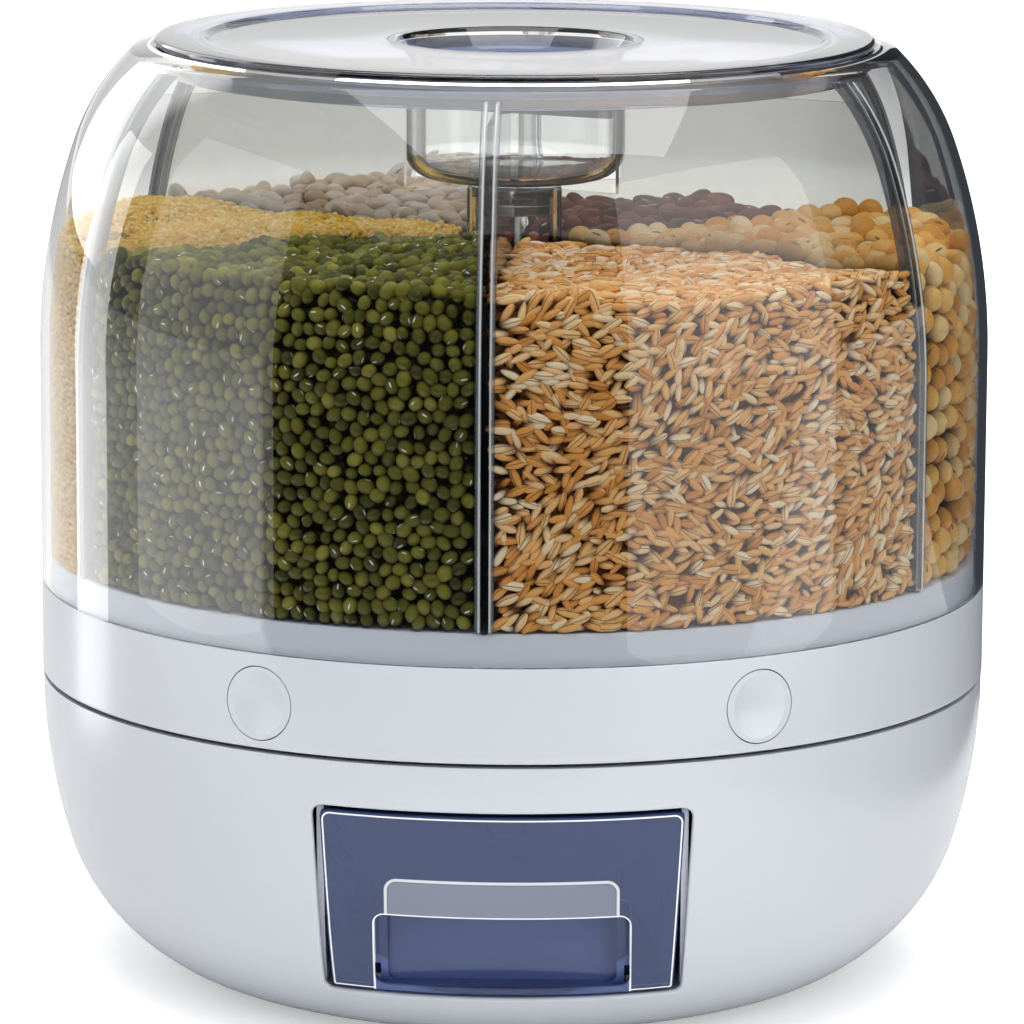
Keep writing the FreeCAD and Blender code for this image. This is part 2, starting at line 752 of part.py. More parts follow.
def gate_spring(angle):
    """The coil that pushes a gate back out. It stands between the ring's anchor and the gate's tab."""
    length = SPRING_TAB - SPRING_IN
    coil_length = length - SPRING_WIRE
    helix = Part.makeHelix(coil_length / SPRING_TURNS, coil_length, SPRING_R)
    section = Part.Wire(Part.makeCircle(SPRING_WIRE / 2, Vector(SPRING_R, 0, 0), Vector(0, 1, 0)))
    coil = Part.Wire(helix.Edges).makePipeShell([section], True, True)
    coil.rotate(CENTRE, Vector(1, 0, 0), 90)
    coil.translate(Vector(0, -SPRING_IN - SPRING_WIRE / 2, GATE_Z))
    return turned(coil, angle)


def lid_disc():
    """The lid's flat top with its raised rim, and the skirt below it with a bead that holds the seal."""
    z = LID_TOP_Z
    low = z - LID_T
    under = LID_STEP_Z - LID_T
    step = z - LID_STEP_Z
    top = lathe([
        (CUP_MOUTH_R, under),
        (SKIRT_R - 4, under),
        (SKIRT_R - 4 + step, low),
        (LID_R, low, 0.5),
        (LID_R, z, 1.2),
        (LID_STEP_R + step, z, 0.8),
        (LID_STEP_R, LID_STEP_Z, 0.6),
        (CUP_MOUTH_R, LID_STEP_Z),
    ])
    skirt = ring(SKIRT_R - SKIRT_T, SKIRT_R, SKIRT_Z0, low + 0.2)
    bead = ring(SKIRT_R - 0.5, SKIRT_R + BEAD_OUT, SKIRT_Z0, SKIRT_Z0 + BEAD_H)
    return top.fuse([skirt, bead])


def lid_seal():
    """A soft ring in the groove of the skirt, with two lips towards the neck."""
    z0 = SKIRT_Z0 + BEAD_H + SAME_BODY_GAP
    z1 = LID_TOP_Z - LID_T - SAME_BODY_GAP
    r0 = SKIRT_R + SAME_BODY_GAP
    r1 = r0 + SEAL_T
    lip_r = NECK_R - BODY_GAP
    return lathe([
        (r0, z0),
        (r1 - 0.4, z0),
        (lip_r, z0 + SEAL_LIP),
        (r1, z0 + 2 * SEAL_LIP),
        (r1, z1 - 1.5 * SEAL_LIP),
        (lip_r, z1 - SEAL_LIP),
        (r1 - 0.4, z1),
        (r0, z1),
    ])


def lid_cup():
    """The deep cup that is pushed up into the lid's middle, and that the fingers reach into."""
    low = CUP_BOTTOM_Z
    high = LID_STEP_Z
    t = CUP_T
    mouth = CUP_MOUTH_R - SAME_BODY_GAP
    return lathe([
        (0, low),
        (CUP_R, low, CUP_CORNER_R),
        (CUP_R, high - CUP_FLARE_H, CUP_FLARE_R),
        (mouth, high - 1.5 * t),
        (mouth, high),
        (mouth - t, high, 1.0),
        (CUP_R - t, high - CUP_FLARE_H + 1, CUP_FLARE_R),
        (CUP_R - t, low + t, CUP_CORNER_R - t),
        (0, low + t),
    ])


def grip_bar():
    """The bar across the cup."""
    half = CUP_R - CUP_T - SAME_BODY_GAP
    bar = box(-half - 1, half + 1, -GRIP_HALF_T, GRIP_HALF_T, *GRIP_Z)
    edges = [e for e in bar.Edges if abs(e.tangentAt(e.FirstParameter).x) > 0.9]
    bar = bar.makeFillet(GRIP_HALF_T - 0.6, edges)
    return turned(bar.common(cylinder(half, CUP_BOTTOM_Z, LID_TOP_Z)), GRIP_TURN)


def grain_heap(angle, top_z):
    """One compartment's grain: a wedge under the dome with a rounded top, clear of the panels' ribs."""
    half_step = math.radians(STEP_DEG / 2)
    z = TRAY_FLOOR_Z + BODY_GAP
    apex = Vector(0, -HEAP_SIDE_GAP / math.sin(half_step), z)
    reach = OUTER_R + PAST
    corners = [apex]
    for side in (-1, 1):
        corners.append(apex + Vector(side * math.sin(half_step), -math.cos(half_step), 0) * reach)
    wedge = Part.Face(Part.makePolygon(corners + corners[:1])).extrude(UP * (top_z - z))
    heap = wedge.common(ring(*HEAP_R, z, top_z)).common(dome_solid(BARREL_T + BODY_GAP))
    edges = [e for e in heap.Edges if e.BoundBox.ZMin > top_z - 1e-3]
    return turned(heap.makeFillet(HEAP_EDGE_R, edges), angle)


def rectangle(half_w, y0, y1, z):
    outline = rectangle_corners(half_w, y0, y1)
    corners = [Vector(x, y, z) for x, y in outline]
    return Part.makePolygon(corners + corners[:1])


def rounded_box(half_w, y0, y1, z0, z1, radius):
    """A box with its upright and lower edges rounded."""
    solid = box(-half_w, half_w, y0, y1, z0, z1)
    edges = [e for e in solid.Edges if e.BoundBox.ZMin < z1 - 1e-6]
    return solid.makeFillet(radius, edges)


def turned_point(x, y, degrees):
    angle = math.radians(degrees)
    return x * math.cos(angle) - y * math.sin(angle), x * math.sin(angle) + y * math.cos(angle)


def export(name, shape):
    """Write one node's solids, after a check that every one is closed and valid."""
    for solid in shape.Solids:
        if not solid.isValid() or solid.Volume <= 0:
            raise ValueError(f"{name} has a bad solid")
    shape.exportStep(f"parts/{name}.step")
    print(f"{name}: {len(shape.Solids)} solid(s), {shape.Volume / 1000:.1f} cm3")


def main():
    """Build and write every node."""
    os.makedirs("parts", exist_ok=True)
    single = [
        base_shell, rubber_feet, base_deck, deck_screws, chute, drawer_bay, lower_race, spindle,
        spindle_washer, spindle_screw, ball_cage, bearing_balls, drawer_front, drawer_bin,
        turn_ring, upper_race, floor_tray, tray_screws, barrel, centre_column, column_cap,
        lid_disc, lid_cup, grip_bar, lid_seal,
    ]
    for build in single:
        export(build.__name__, build())
    for k, angle in enumerate(divider_angles(), 1):
        export(f"divider_{k}", divider(angle))
    for angle, (name, top_z) in zip(divider_angles(), HEAPS):
        export(name, grain_heap(angle + STEP_DEG / 2, top_z))
    for k, angle in enumerate(button_angles(), 1):
        export(f"button_{k}", button(angle))
        export(f"gate_{k}", gate(angle))
        export(f"gate_spring_{k}", gate_spring(angle))


if __name__ == "__main__":
    main()
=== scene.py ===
"""Looks of a rotating grain dispenser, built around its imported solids.

The dispenser's sizes are in millimetres, the studio's in metres, and angles in degrees about Z from the
drawer's side towards +X. Round pieces are turned outlines, and each seed is one low shape that numpy repeats.
"""

import json
import logging
import math
from dataclasses import dataclass, field
from enum import Enum
from typing import NamedTuple

import bmesh
import bpy
import numpy as np
from mathutils import Matrix, Vector
from mathutils.kdtree import KDTree

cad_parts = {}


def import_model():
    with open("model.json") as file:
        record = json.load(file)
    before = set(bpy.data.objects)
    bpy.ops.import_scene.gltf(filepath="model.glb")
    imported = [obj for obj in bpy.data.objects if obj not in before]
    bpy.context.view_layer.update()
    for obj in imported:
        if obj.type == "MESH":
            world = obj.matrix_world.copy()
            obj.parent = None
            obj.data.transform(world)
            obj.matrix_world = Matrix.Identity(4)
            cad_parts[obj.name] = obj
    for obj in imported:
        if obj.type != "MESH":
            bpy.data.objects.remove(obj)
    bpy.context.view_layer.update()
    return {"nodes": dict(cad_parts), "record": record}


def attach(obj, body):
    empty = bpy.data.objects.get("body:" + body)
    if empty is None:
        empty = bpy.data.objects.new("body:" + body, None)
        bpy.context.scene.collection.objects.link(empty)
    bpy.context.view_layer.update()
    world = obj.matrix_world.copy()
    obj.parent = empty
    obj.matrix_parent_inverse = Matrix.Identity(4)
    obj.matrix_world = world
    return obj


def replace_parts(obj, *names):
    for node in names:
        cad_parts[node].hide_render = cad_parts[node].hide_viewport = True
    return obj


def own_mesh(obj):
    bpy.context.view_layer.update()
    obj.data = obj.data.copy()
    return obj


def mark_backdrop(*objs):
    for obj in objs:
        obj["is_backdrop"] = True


LOG = logging.getLogger("dispenser")
MM = 0.001
SEED = 4127
PLASTIC_IOR = 1.53
UP = (0.0, 0.0, 1.0)

Material = bpy.types.Material
Piece = bpy.types.Object
Socket = bpy.types.NodeSocket
Number = float | Socket
Colour = str | Socket


def hex_linear(code: str) -> tuple[float, float, float, float]:
    """Turn an sRGB hex code into linear colour.

    Args:
        code: Six hex digits after a hash sign.

    Returns:
        Red, green, blue and an alpha of 1.
    """
    parts = [int(code[i : i + 2], 16) / 255 for i in (1, 3, 5)]
    linear = [p / 12.92 if p <= 0.04045 else ((p + 0.055) / 1.055) ** 2.4 for p in parts]
    return (*linear, 1.0)


def turn_z(points: np.ndarray, degrees: float) -> np.ndarray:
    """Turn points about Z.

    Args:
        points: An array whose last axis is x, y, z.
        degrees: The angle, from the front towards +X.

    Returns:
        The turned points.
    """
    a = math.radians(degrees)
    matrix = np.array([[math.cos(a), -math.sin(a), 0], [math.sin(a), math.cos(a), 0], [0, 0, 1]])
    return points @ matrix.T


class Graph:
    """A node tree that is being filled."""

    def __init__(self, tree: bpy.types.NodeTree) -> None:
        """Empty the tree and keep it."""
        self.tree = tree
        tree.nodes.clear()

    def add(self, kind: str, inputs: dict | None = None, **settings) -> bpy.types.Node:
        """Add a node.

        Args:
            kind: Blender's type name.
            inputs: Socket name or number to a value or to another node's output.
            **settings: Properties of the node.

        Returns:
            The node.
        """
        node = self.tree.nodes.new(kind)
        for key, value in settings.items():
            setattr(node, key, value)
        for socket, value in (inputs or {}).items():
            if isinstance(value, Socket):
                self.tree.links.new(value, node.inputs[socket])
            else:
                node.inputs[socket].default_value = value
        return node

    def math(self, operation: str, *values: Number) -> Socket:
        """One arithmetic node on numbers or sockets."""
        return self.add("ShaderNodeMath", dict(enumerate(values)), operation=operation).outputs[0]

    def vector(self, operation: str, *values: Socket | tuple[float, float, float]) -> dict[str, Socket]:
        """The outputs of one arithmetic node on vectors."""
        return self.add("ShaderNodeVectorMath", dict(enumerate(values)), operation=operation).outputs

    def times(self, *values: Number) -> Socket:
        """The product of two values."""
        return self.math("MULTIPLY", *values)

    def without(self, value: Number) -> Socket:
        """What value leaves of one."""
        return self.math("SUBTRACT", 1.0, value)

    def largest(self, first: Number, *others: Number) -> Socket:
        """The largest of several values."""
        for other in others:
            first = self.math("MAXIMUM", first, other)
        return first

    def within(self, value: Socket, low: float, high: float, soft: float) -> Socket:
        """One where value lies between low and high, fading to zero over soft at each end."""
        rise = self.span(value, 0.0, 1.0, low - soft, low)
        fall = self.span(value, 1.0, 0.0, high, high + soft)
        return self.times(rise, fall)

    def blend(self, share: Socket, first: Colour, second: Colour) -> Socket:
        """A colour between two colours, each a hex code or a socket."""
        node = self.add("ShaderNodeMix", data_type="RGBA")
        self.tree.links.new(share, node.inputs["Factor"])
        for name, value in (("A", first), ("B", second)):
            if isinstance(value, Socket):
                self.tree.links.new(value, node.inputs[name])
            else:
                node.inputs[name].default_value = hex_linear(value)
        return node.outputs["Result"]

    def cover(self, share: Number, under: Socket, over: Socket) -> Socket:
        """A surface that share of another surface covers."""
        return self.add("ShaderNodeMixShader", {0: share, 1: under, 2: over}).outputs["Shader"]

    def body(self, settings: dict) -> Socket:
        """A principled surface with these settings."""
        return self.add("ShaderNodeBsdfPrincipled", settings).outputs["BSDF"]

    def film(self, code: str) -> Socket:
        """A clear film that tints what is behind it."""
        return self.add("ShaderNodeBsdfTransparent", {"Color": hex_linear(code)}).outputs["BSDF"]

    def axes(self, vector: Socket) -> tuple[Socket, Socket, Socket]:
        """The three parts of a vector."""
        parts = self.add("ShaderNodeSeparateXYZ", {"Vector": vector}).outputs
        return parts["X"], parts["Y"], parts["Z"]

    def ray(self, kind: str) -> Socket:
        """Whether the ray that asks is of a kind."""
        return self.add("ShaderNodeLightPath").outputs[kind]

    def attribute(self, name: str, output: str = "Fac") -> Socket:
        """What the mesh carries under a name."""
        return self.add("ShaderNodeAttribute", attribute_name=name).outputs[output]

    def noise(self, size_mm: float, vector: Socket, detail: float = 2.0) -> Socket:
        """Soft noise whose blobs are about size_mm across, from 0 to 1."""
        settings = {"Vector": vector, "Scale": 1 / (size_mm * MM), "Detail": detail}
        return self.add("ShaderNodeTexNoise", settings).outputs["Fac"]

    def ramp(self, value: Socket, stops: tuple[tuple[float, str], ...]) -> Socket:
        """A colour ramp over value, with (place, hex colour) stops."""
        node = self.add("ShaderNodeValToRGB", {"Fac": value})
        while len(node.color_ramp.elements) < len(stops):
            node.color_ramp.elements.new(0.5)
        for element, (place, code) in zip(node.color_ramp.elements, stops):
            element.position = place
            element.color = hex_linear(code)
        return node.outputs["Color"]

    def span(self, value: Number, low: float, high: float, start: float = 0.0, end: float = 1.0) -> Socket:
        """Carry value from start..end to low..high, held at both ends."""
        settings = {"Value": value, "From Min": start, "From Max": end, "To Min": low, "To Max": high}
        return self.add("ShaderNodeMapRange", settings).outputs["Result"]

    def bump(self, height: Socket, depth_mm: float) -> Socket:
        """A normal that is tilted as if height were depth_mm deep."""
        return self.add("ShaderNodeBump", {"Height": height, "Distance": depth_mm * MM}).outputs["Normal"]


@dataclass(frozen=True)
class Finish:
    """A material, named for what the real one is and how its surface was made."""

    name: str
    colour: str

    def place(self, graph: Graph) -> Socket:
        """The coordinates of the piece's own object."""
        return graph.add("ShaderNodeTexCoord").outputs["Object"]

    def surface(self, graph: Graph) -> Socket:
        """One dull colour all over."""
        return graph.body({"Base Color": hex_linear(self.colour), "Roughness": 0.8})

    def material(self) -> Material:
        """The material, made when first asked for."""
        found = bpy.data.materials.get(self.name)
        if found:
            return found
        material = bpy.data.materials.new(self.name)
        material.use_nodes = True
        graph = Graph(material.node_tree)
        graph.add("ShaderNodeOutputMaterial", {"Surface": self.surface(graph)})
        return material


@dataclass(frozen=True)
class MouldedPlastic(Finish):
    """Injection-moulded opaque plastic. A faint grain from the tool breaks its reflections."""

    roughness: float = 0.3
    grain_mm: float = 0.9
    grain_depth_mm: float = 0.004
    coat: float = 0.0
    flow_mm: float = 55.0
    flow_shade: str = "#898e95"
    flow_share: float = 0.03

    def surface(self, graph: Graph) -> Socket:
        """Flow marks in the colour, and the tool's grain as bump."""
        place = self.place(graph)
        flow = graph.span(graph.noise(self.flow_mm, place, 3), 0.0, self.flow_share)
        settings = {
            "Base Color": graph.blend(flow, self.colour, self.flow_shade),
            "Roughness": self.roughness,
            "IOR": PLASTIC_IOR,
            "Coat Weight": self.coat,
            "Coat Roughness": 0.14,
        }
        if self.grain_depth_mm:
            settings["Normal"] = graph.bump(graph.noise(self.grain_mm, place, 2), self.grain_depth_mm)
        return graph.body(settings)


@dataclass(frozen=True)
class ClearPlastic(Finish):
    """Polished clear plastic that bends light. Lamps shine through it, so what it holds is lit."""

    roughness: float = 0.0
    ripple_mm: float = 45.0
    ripple_depth_mm: float = 0.02

    def surface(self, graph: Graph) -> Socket:
        """Slow ripples from the mould's flow bend the reflections a little."""
        ripple = graph.bump(graph.noise(self.ripple_mm, self.place(graph), 1), self.ripple_depth_mm)
        glass = graph.body({
            "Base Color": hex_linear(self.colour),
            "Roughness": self.roughness,
            "IOR": PLASTIC_IOR,
            "Transmission Weight": 1.0,
            "Normal": ripple,
        })
        open_to_lamps = graph.film(self.colour)
        return graph.cover(graph.ray("Is Shadow Ray"), glass, open_to_lamps)


class DyeAndPaintedLight(NamedTuple):
    """What a dyed body shows: its colour and painted light, how far a painted highlight covers it, and its
    shine.
    """

    colour: Colour
    lines: Number
    shine: Number


@dataclass(frozen=True)
class SmokedPlastic(Finish):
    """Dyed plastic that is partly see-through: the dye shows as a body colour of its own."""

    body: float = 0.6
    roughness: float = 0.08
    lets_in: str = "#97a3cc"
    cloud_mm: float = 26.0
    cloud: str = "#3d4870"
    cloud_share: float = 0.25

    def dye(self, graph: Graph) -> DyeAndPaintedLight:
        """The same dye all over, with no lines."""
        return DyeAndPaintedLight(self.colour, 0.0, 0.5)

    def surface(self, graph: Graph) -> Socket:
        """A dyed body over a tinted clear film, clouded a little by the mould's flow."""
        cloud = graph.noise(self.cloud_mm, self.place(graph), 2)
        dye = self.dye(graph)
        clouded = graph.times(graph.span(cloud, 0.0, self.cloud_share), graph.without(dye.lines))
        body = graph.body({
            "Base Color": graph.blend(clouded, dye.colour, self.cloud),
            "Roughness": graph.span(cloud, self.roughness, self.roughness + 0.06),
            "IOR": PLASTIC_IOR,
            "Specular IOR Level": dye.shine,
        })
        share = graph.span(dye.lines, self.body, 1.0)
        return graph.cover(share, graph.film(self.lets_in), body)


@dataclass(frozen=True)
class EdgeLitPlastic(SmokedPlastic):
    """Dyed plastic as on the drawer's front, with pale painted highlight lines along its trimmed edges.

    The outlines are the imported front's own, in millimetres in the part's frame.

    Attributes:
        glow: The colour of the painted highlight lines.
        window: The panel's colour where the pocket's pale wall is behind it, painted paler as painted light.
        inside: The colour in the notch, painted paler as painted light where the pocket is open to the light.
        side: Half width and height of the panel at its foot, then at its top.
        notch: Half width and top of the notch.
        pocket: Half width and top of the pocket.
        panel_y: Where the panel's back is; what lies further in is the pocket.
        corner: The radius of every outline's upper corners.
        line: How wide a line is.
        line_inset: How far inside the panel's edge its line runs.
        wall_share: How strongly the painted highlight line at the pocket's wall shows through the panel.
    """

    glow: str = "#ffffff"
    window: str = "#a3a9b8"
    inside: str = "#667ab2"
    side: tuple[float, float, float, float] = (49.8, 21.9, 52.8, 79.2)
    notch: tuple[float, float] = (37.1, 48.0)
    pocket: tuple[float, float] = (33.3, 59.0)
    panel_y: float = -125.0
    corner: float = 3.0
    line: float = 0.3
    line_inset: float = 0.5
    wall_share: float = 0.75

    def inset(self, graph: Graph, x: Socket, z: Socket, half: Number, top: float) -> Socket:
        """How far a place lies inside an outline with rounded upper corners; negative is outside.

        Args:
            graph: The graph to add to.
            x: Distance from the middle plane.
            z: Height.
            half: The outline's half width.
            top: The outline's top.

        Returns:
            The distance in millimetres.
        """
        over_x = graph.math("ADD", graph.math("SUBTRACT", x, half), self.corner)
        over_z = graph.math("ADD", graph.math("SUBTRACT", z, top), self.corner)
        squares = [graph.math("POWER", graph.largest(over, 0.0), 2.0) for over in (over_x, over_z)]
        past = graph.math("SQRT", graph.math("ADD", *squares))
        deep = graph.math("MINIMUM", graph.largest(over_x, over_z), 0.0)
        return graph.math("SUBTRACT", self.corner, graph.math("ADD", past, deep))

    def dye(self, graph: Graph) -> DyeAndPaintedLight:
        """Dyed colour with painted light, painted highlights on every outline, and a shine that ends at the
        sides.
        """
        x, y, z = graph.axes(self.place(graph))
        x = graph.times(graph.math("ABSOLUTE", x), 1 / MM)
        y, z = graph.times(y, 1 / MM), graph.times(z, 1 / MM)
        foot_half, foot_z, top_half, top_z = self.side
        edge = self.inset(graph, x, z, graph.span(z, foot_half, top_half, foot_z, top_z), top_z)
        edge = graph.math("MINIMUM", edge, graph.math("SUBTRACT", z, foot_z))
        notch_inset = self.inset(graph, x, z, *self.notch)
        pocket_inset = self.inset(graph, x, z, *self.pocket)
        above = graph.span(z, 0.0, 1.0, self.notch[1], self.notch[1] + 0.6)
        in_notch = graph.times(graph.within(x, -1.0, self.notch[0], 0.3), graph.without(above))
        # Painted highlights: pale lines along the panel's edge, the notch and the pocket's wall.
        rim = graph.within(edge, self.line_inset, self.line_inset + self.line, 0.15)
        rim = graph.times(rim, graph.without(in_notch))
        notch = graph.within(notch_inset, -self.line - 0.1, 0.0, 0.2)
        wall = graph.times(graph.within(pocket_inset, -0.7, 0.0, 0.2), above)
        lines = graph.largest(rim, notch, graph.times(wall, self.wall_share))
        # Painted light: paler where the pocket's wall is behind the panel, and paler again in the notch.
        pane = graph.times(graph.span(pocket_inset, 0.0, 1.0, 0.0, 0.5), above)
        back = graph.times(graph.span(y, 0.0, 1.0, self.panel_y, self.panel_y + 1.0), in_notch)
        tone = graph.blend(back, graph.blend(pane, self.colour, self.window), self.inside)
        return DyeAndPaintedLight(graph.blend(lines, tone, self.glow), lines, graph.span(edge, 0.0, 0.7, 0.1, 0.5))


@dataclass(frozen=True)
class RibPlastic(Finish):
    """Clear plastic in a narrow rib, with painted dark and white lines across it for the light its edges
    bend.

    The mesh carries a float attribute across: 0 at the rib's outer side and 1 at its side by the divider.

    Attributes:
        lines: Colours across the rib: painted shade and painted highlights.
        solid: How little shows through, across the rib, as greys.
    """

    lines: tuple[tuple[float, str], ...] = (
        (0.0, "#33353b"), (0.14, "#55585f"), (0.26, "#a7abb3"), (0.6, "#c4c8ce"), (0.72, "#f6f7f8"),
        (0.9, "#ffffff"), (1.0, "#8e939c"),
    )
    solid: tuple[tuple[float, str], ...] = (
        (0.0, "#d0d0d0"), (0.2, "#909090"), (0.5, "#707070"), (0.66, "#f0f0f0"), (0.9, "#f0f0f0"),
        (1.0, "#909090"),
    )

    def surface(self, graph: Graph) -> Socket:
        """Painted dark and white lines by place across the rib, more or less see-through between them."""
        across = graph.attribute("across")
        # Painted shade and painted highlights: the ramp's dark and white lines stand in for light bent at the
        # rib's edges.
        body = graph.body({
            "Base Color": graph.ramp(across, self.lines),
            "Roughness": 0.12,
            "IOR": PLASTIC_IOR,
        })
        share = graph.ramp(across, self.solid)
        return graph.cover(share, graph.film(self.colour), body)


@dataclass(frozen=True)
class ClearPanel(Finish):
    """A thin flat clear panel. It is too thin to bend what is seen through it, and only mirrors."""

    roughness: float = 0.03
    smear_mm: float = 18.0

    def surface(self, graph: Graph) -> Socket:
        """A mirror by Fresnel's law over a tinted clear film, with faint smears."""
        smear = graph.noise(self.smear_mm, self.place(graph), 4)
        mirror = graph.add("ShaderNodeBsdfGlossy", {
            "Roughness": graph.span(smear, self.roughness, self.roughness + 0.08),
        })
        edge = graph.add("ShaderNodeFresnel", {"IOR": 1.5})
        return graph.cover(edge.outputs["Fac"], graph.film(self.colour), mirror.outputs["BSDF"])


@dataclass(frozen=True)
class BrightSteel(Finish):
    """Rolled and tumbled steel: a metal with fine scratches."""

    def surface(self, graph: Graph) -> Socket:
        """Scratches as stretched noise in the roughness."""
        stretch = graph.add("ShaderNodeMapping", {"Vector": self.place(graph), "Scale": (1, 1, 14)})
        scratches = graph.noise(2.5, stretch.outputs["Vector"], 4)
        return graph.body({
            "Base Color": hex_linear(self.colour),
            "Metallic": 1.0,
            "Roughness": graph.span(scratches, 0.18, 0.42),
        })


@dataclass(frozen=True)
class SoftMoulded(Finish):
    """Moulded rubber or silicone with a dull skin."""

    roughness: float = 0.6
    through: float = 0.0
    dust_mm: float = 3.0
    skin_mm: float = 0.7

    def surface(self, graph: Graph) -> Socket:
        """A dusty skin as noise in roughness and bump."""
        place = self.place(graph)
        dust_and_deep_shade = graph.noise(self.dust_mm, place, 3)
        return graph.body({
            "Base Color": hex_linear(self.colour),
            "Roughness": graph.span(dust_and_deep_shade, self.roughness - 0.08, self.roughness + 0.1),
            "Transmission Weight": self.through,
            "IOR": 1.41,
            "Normal": graph.bump(graph.noise(self.skin_mm, place, 2), 0.01),
        })


@dataclass(frozen=True)
class SeedCoat(Finish):
    """The skin of a seed. Each seed has its own tint, mottling and, on some kinds, a mark or crease.

    The mesh carries three attributes: tint is one number per seed, seed is the place on the seed in its
    own frame in units of its half lengths, and depth says how far below the heap's skin the point lies,
    in seed half lengths. The skin darkens with depth as painted shade between the seeds.

    Attributes:
        stops: Colours over the seeds' tints.
        roughness: The skin's roughness.
        mottle: How far mottling shifts the tint.
        mark: The colour of the spot where the seed hung in its pod, if any.
        mark_at: Where that spot is on the seed's Y axis.
        crease: The colour of a dark line painted along the seed as painted shade of a furrow the mesh lacks,
            if any.
        wrinkle_mm: The size of the skin's wrinkles; 0 is a smooth skin.
        shade: The colour of the painted shade that the gaps between the seeds fade to.
        shade_from: The depth where that begins.
        shade_to: The depth where it ends.
    """

    stops: tuple[tuple[float, str], ...] = ()
    roughness: float = 0.4
    mottle: float = 0.25
    mark: str = ""
    mark_at: float = 0.0
    crease: str = ""
    wrinkle_mm: float = 0.0
    shade: str = "#15120c"
    shade_from: float = 0.5
    shade_to: float = 1.35
    mottle_mm: float = 1 / 1.3
    shade_share: float = 0.93

    def surface(self, graph: Graph) -> Socket:
        """Tint by seed, mottling in the seed's frame, then the mark or crease, then painted shade by depth.
        """
        seed = graph.attribute("seed", "Vector")
        place = self.place(graph)
        spots = graph.noise(self.mottle_mm, place, 3)
        shift = graph.span(spots, -self.mottle, self.mottle)
        colour = graph.ramp(graph.math("ADD", shift, graph.attribute("tint")), self.stops)
        # Painted shade: a dark line along the seed stands in for the shade in its furrow.
        if self.crease:
            across = graph.math("ABSOLUTE", graph.axes(seed)[1])
            colour = graph.blend(graph.span(across, 0.8, 0.0, 0.04, 0.17), colour, self.crease)
        if self.mark:
            spot = graph.vector("SUBTRACT", seed, (0.0, self.mark_at, 0.0))["Vector"]
            reach = graph.vector("LENGTH", graph.vector("MULTIPLY", spot, (0.9, 1.0, 3.2))["Vector"])["Value"]
            colour = graph.blend(graph.span(reach, 1.0, 0.0, 0.24, 0.36), colour, self.mark)
        # Painted shade: the seed's colour darkens with its depth below the heap's skin.
        painted_depth_shade = graph.span(graph.attribute("depth"), 0.0, self.shade_share, self.shade_from, self.shade_to)
        height = graph.noise(max(self.wrinkle_mm, 0.5), place, 3)
        return graph.body({
            "Base Color": graph.blend(painted_depth_shade, colour, self.shade),
            "Roughness": graph.span(spots, self.roughness - 0.1, self.roughness + 0.12),
            "IOR": 1.45,
            "Normal": graph.bump(height, 0.05 if self.wrinkle_mm else 0.015),
        })


class Stuff(Enum):
    """The finishes that the dispenser's pieces take, by the record's material slots."""

    WHITE_ABS = MouldedPlastic("polished_white_abs", "#c8ccd3", 0.27, 0.9, 0.0, 0.25)
    WHITE_INNER = MouldedPlastic("unpolished_white_abs", "#d6dae2", 0.5, 0.6, 0.01)
    TRAY_GREY = MouldedPlastic("pale_grey_polypropylene", "#e6ecfb", 0.38, 0.7, 0.002)
    ACETAL = MouldedPlastic("natural_acetal", "#e4e3de", 0.35, 0.5, 0.006)
    CLEAR_SAN = ClearPlastic("clear_polished_san", "#f7f8f7")
    CLEAR_LID = ClearPlastic("pale_clear_lid_san", "#e4e9fb", 0.06)
    SMOKE_CLEAR = SmokedPlastic("smoke_blue_san", "#495981")
    SMOKE_FRONT = EdgeLitPlastic("smoke_blue_san_front", "#495981")
    RIB = RibPlastic("clear_san_rib", "#f4f5f6")
    SMOKE_GRIP = ClearPlastic("smoke_grey_san", "#555a66", 0.03)
    PANEL = ClearPanel("thin_clear_san_panel", "#f6f6f5")
    SILICONE = SoftMoulded("milky_silicone", "#d9dde2", 0.45, 0.4)
    BLACK_RUBBER = SoftMoulded("black_moulded_rubber", "#17181a", 0.65)
    STEEL = BrightSteel("tumbled_steel", "#b9bcc2")

    def material(self) -> Material:
        """The finish's material, made when first asked for."""
        return self.value.material()


def unit(rows: np.ndarray) -> np.ndarray:
    """The same vectors at length one."""
    return rows / np.linalg.norm(rows, axis=-1, keepdims=True)


def towards(angle: float | np.ndarray) -> np.ndarray:
    """Rows of x, y: the way out from the middle at each angle in radians."""
    return np.stack([np.sin(angle), -np.cos(angle)], -1)


def mark_points(piece: Piece, name: str, values: np.ndarray) -> None:
    """Store a number or a vector under a name at every point of a piece."""
    kind, key = ("FLOAT_VECTOR", "vector") if values.ndim > 1 else ("FLOAT", "value")
    layer = piece.data.attributes.new(name, kind, "POINT")
    layer.data.foreach_set(key, values.astype(np.float32).ravel())


def write_shell(work: bmesh.types.BMesh, piece: Piece) -> None:
    """Face a closed shell outwards and store it as the piece's mesh."""
    bmesh.ops.recalc_face_normals(work, faces=work.faces)
    work.to_mesh(piece.data)
    work.free()


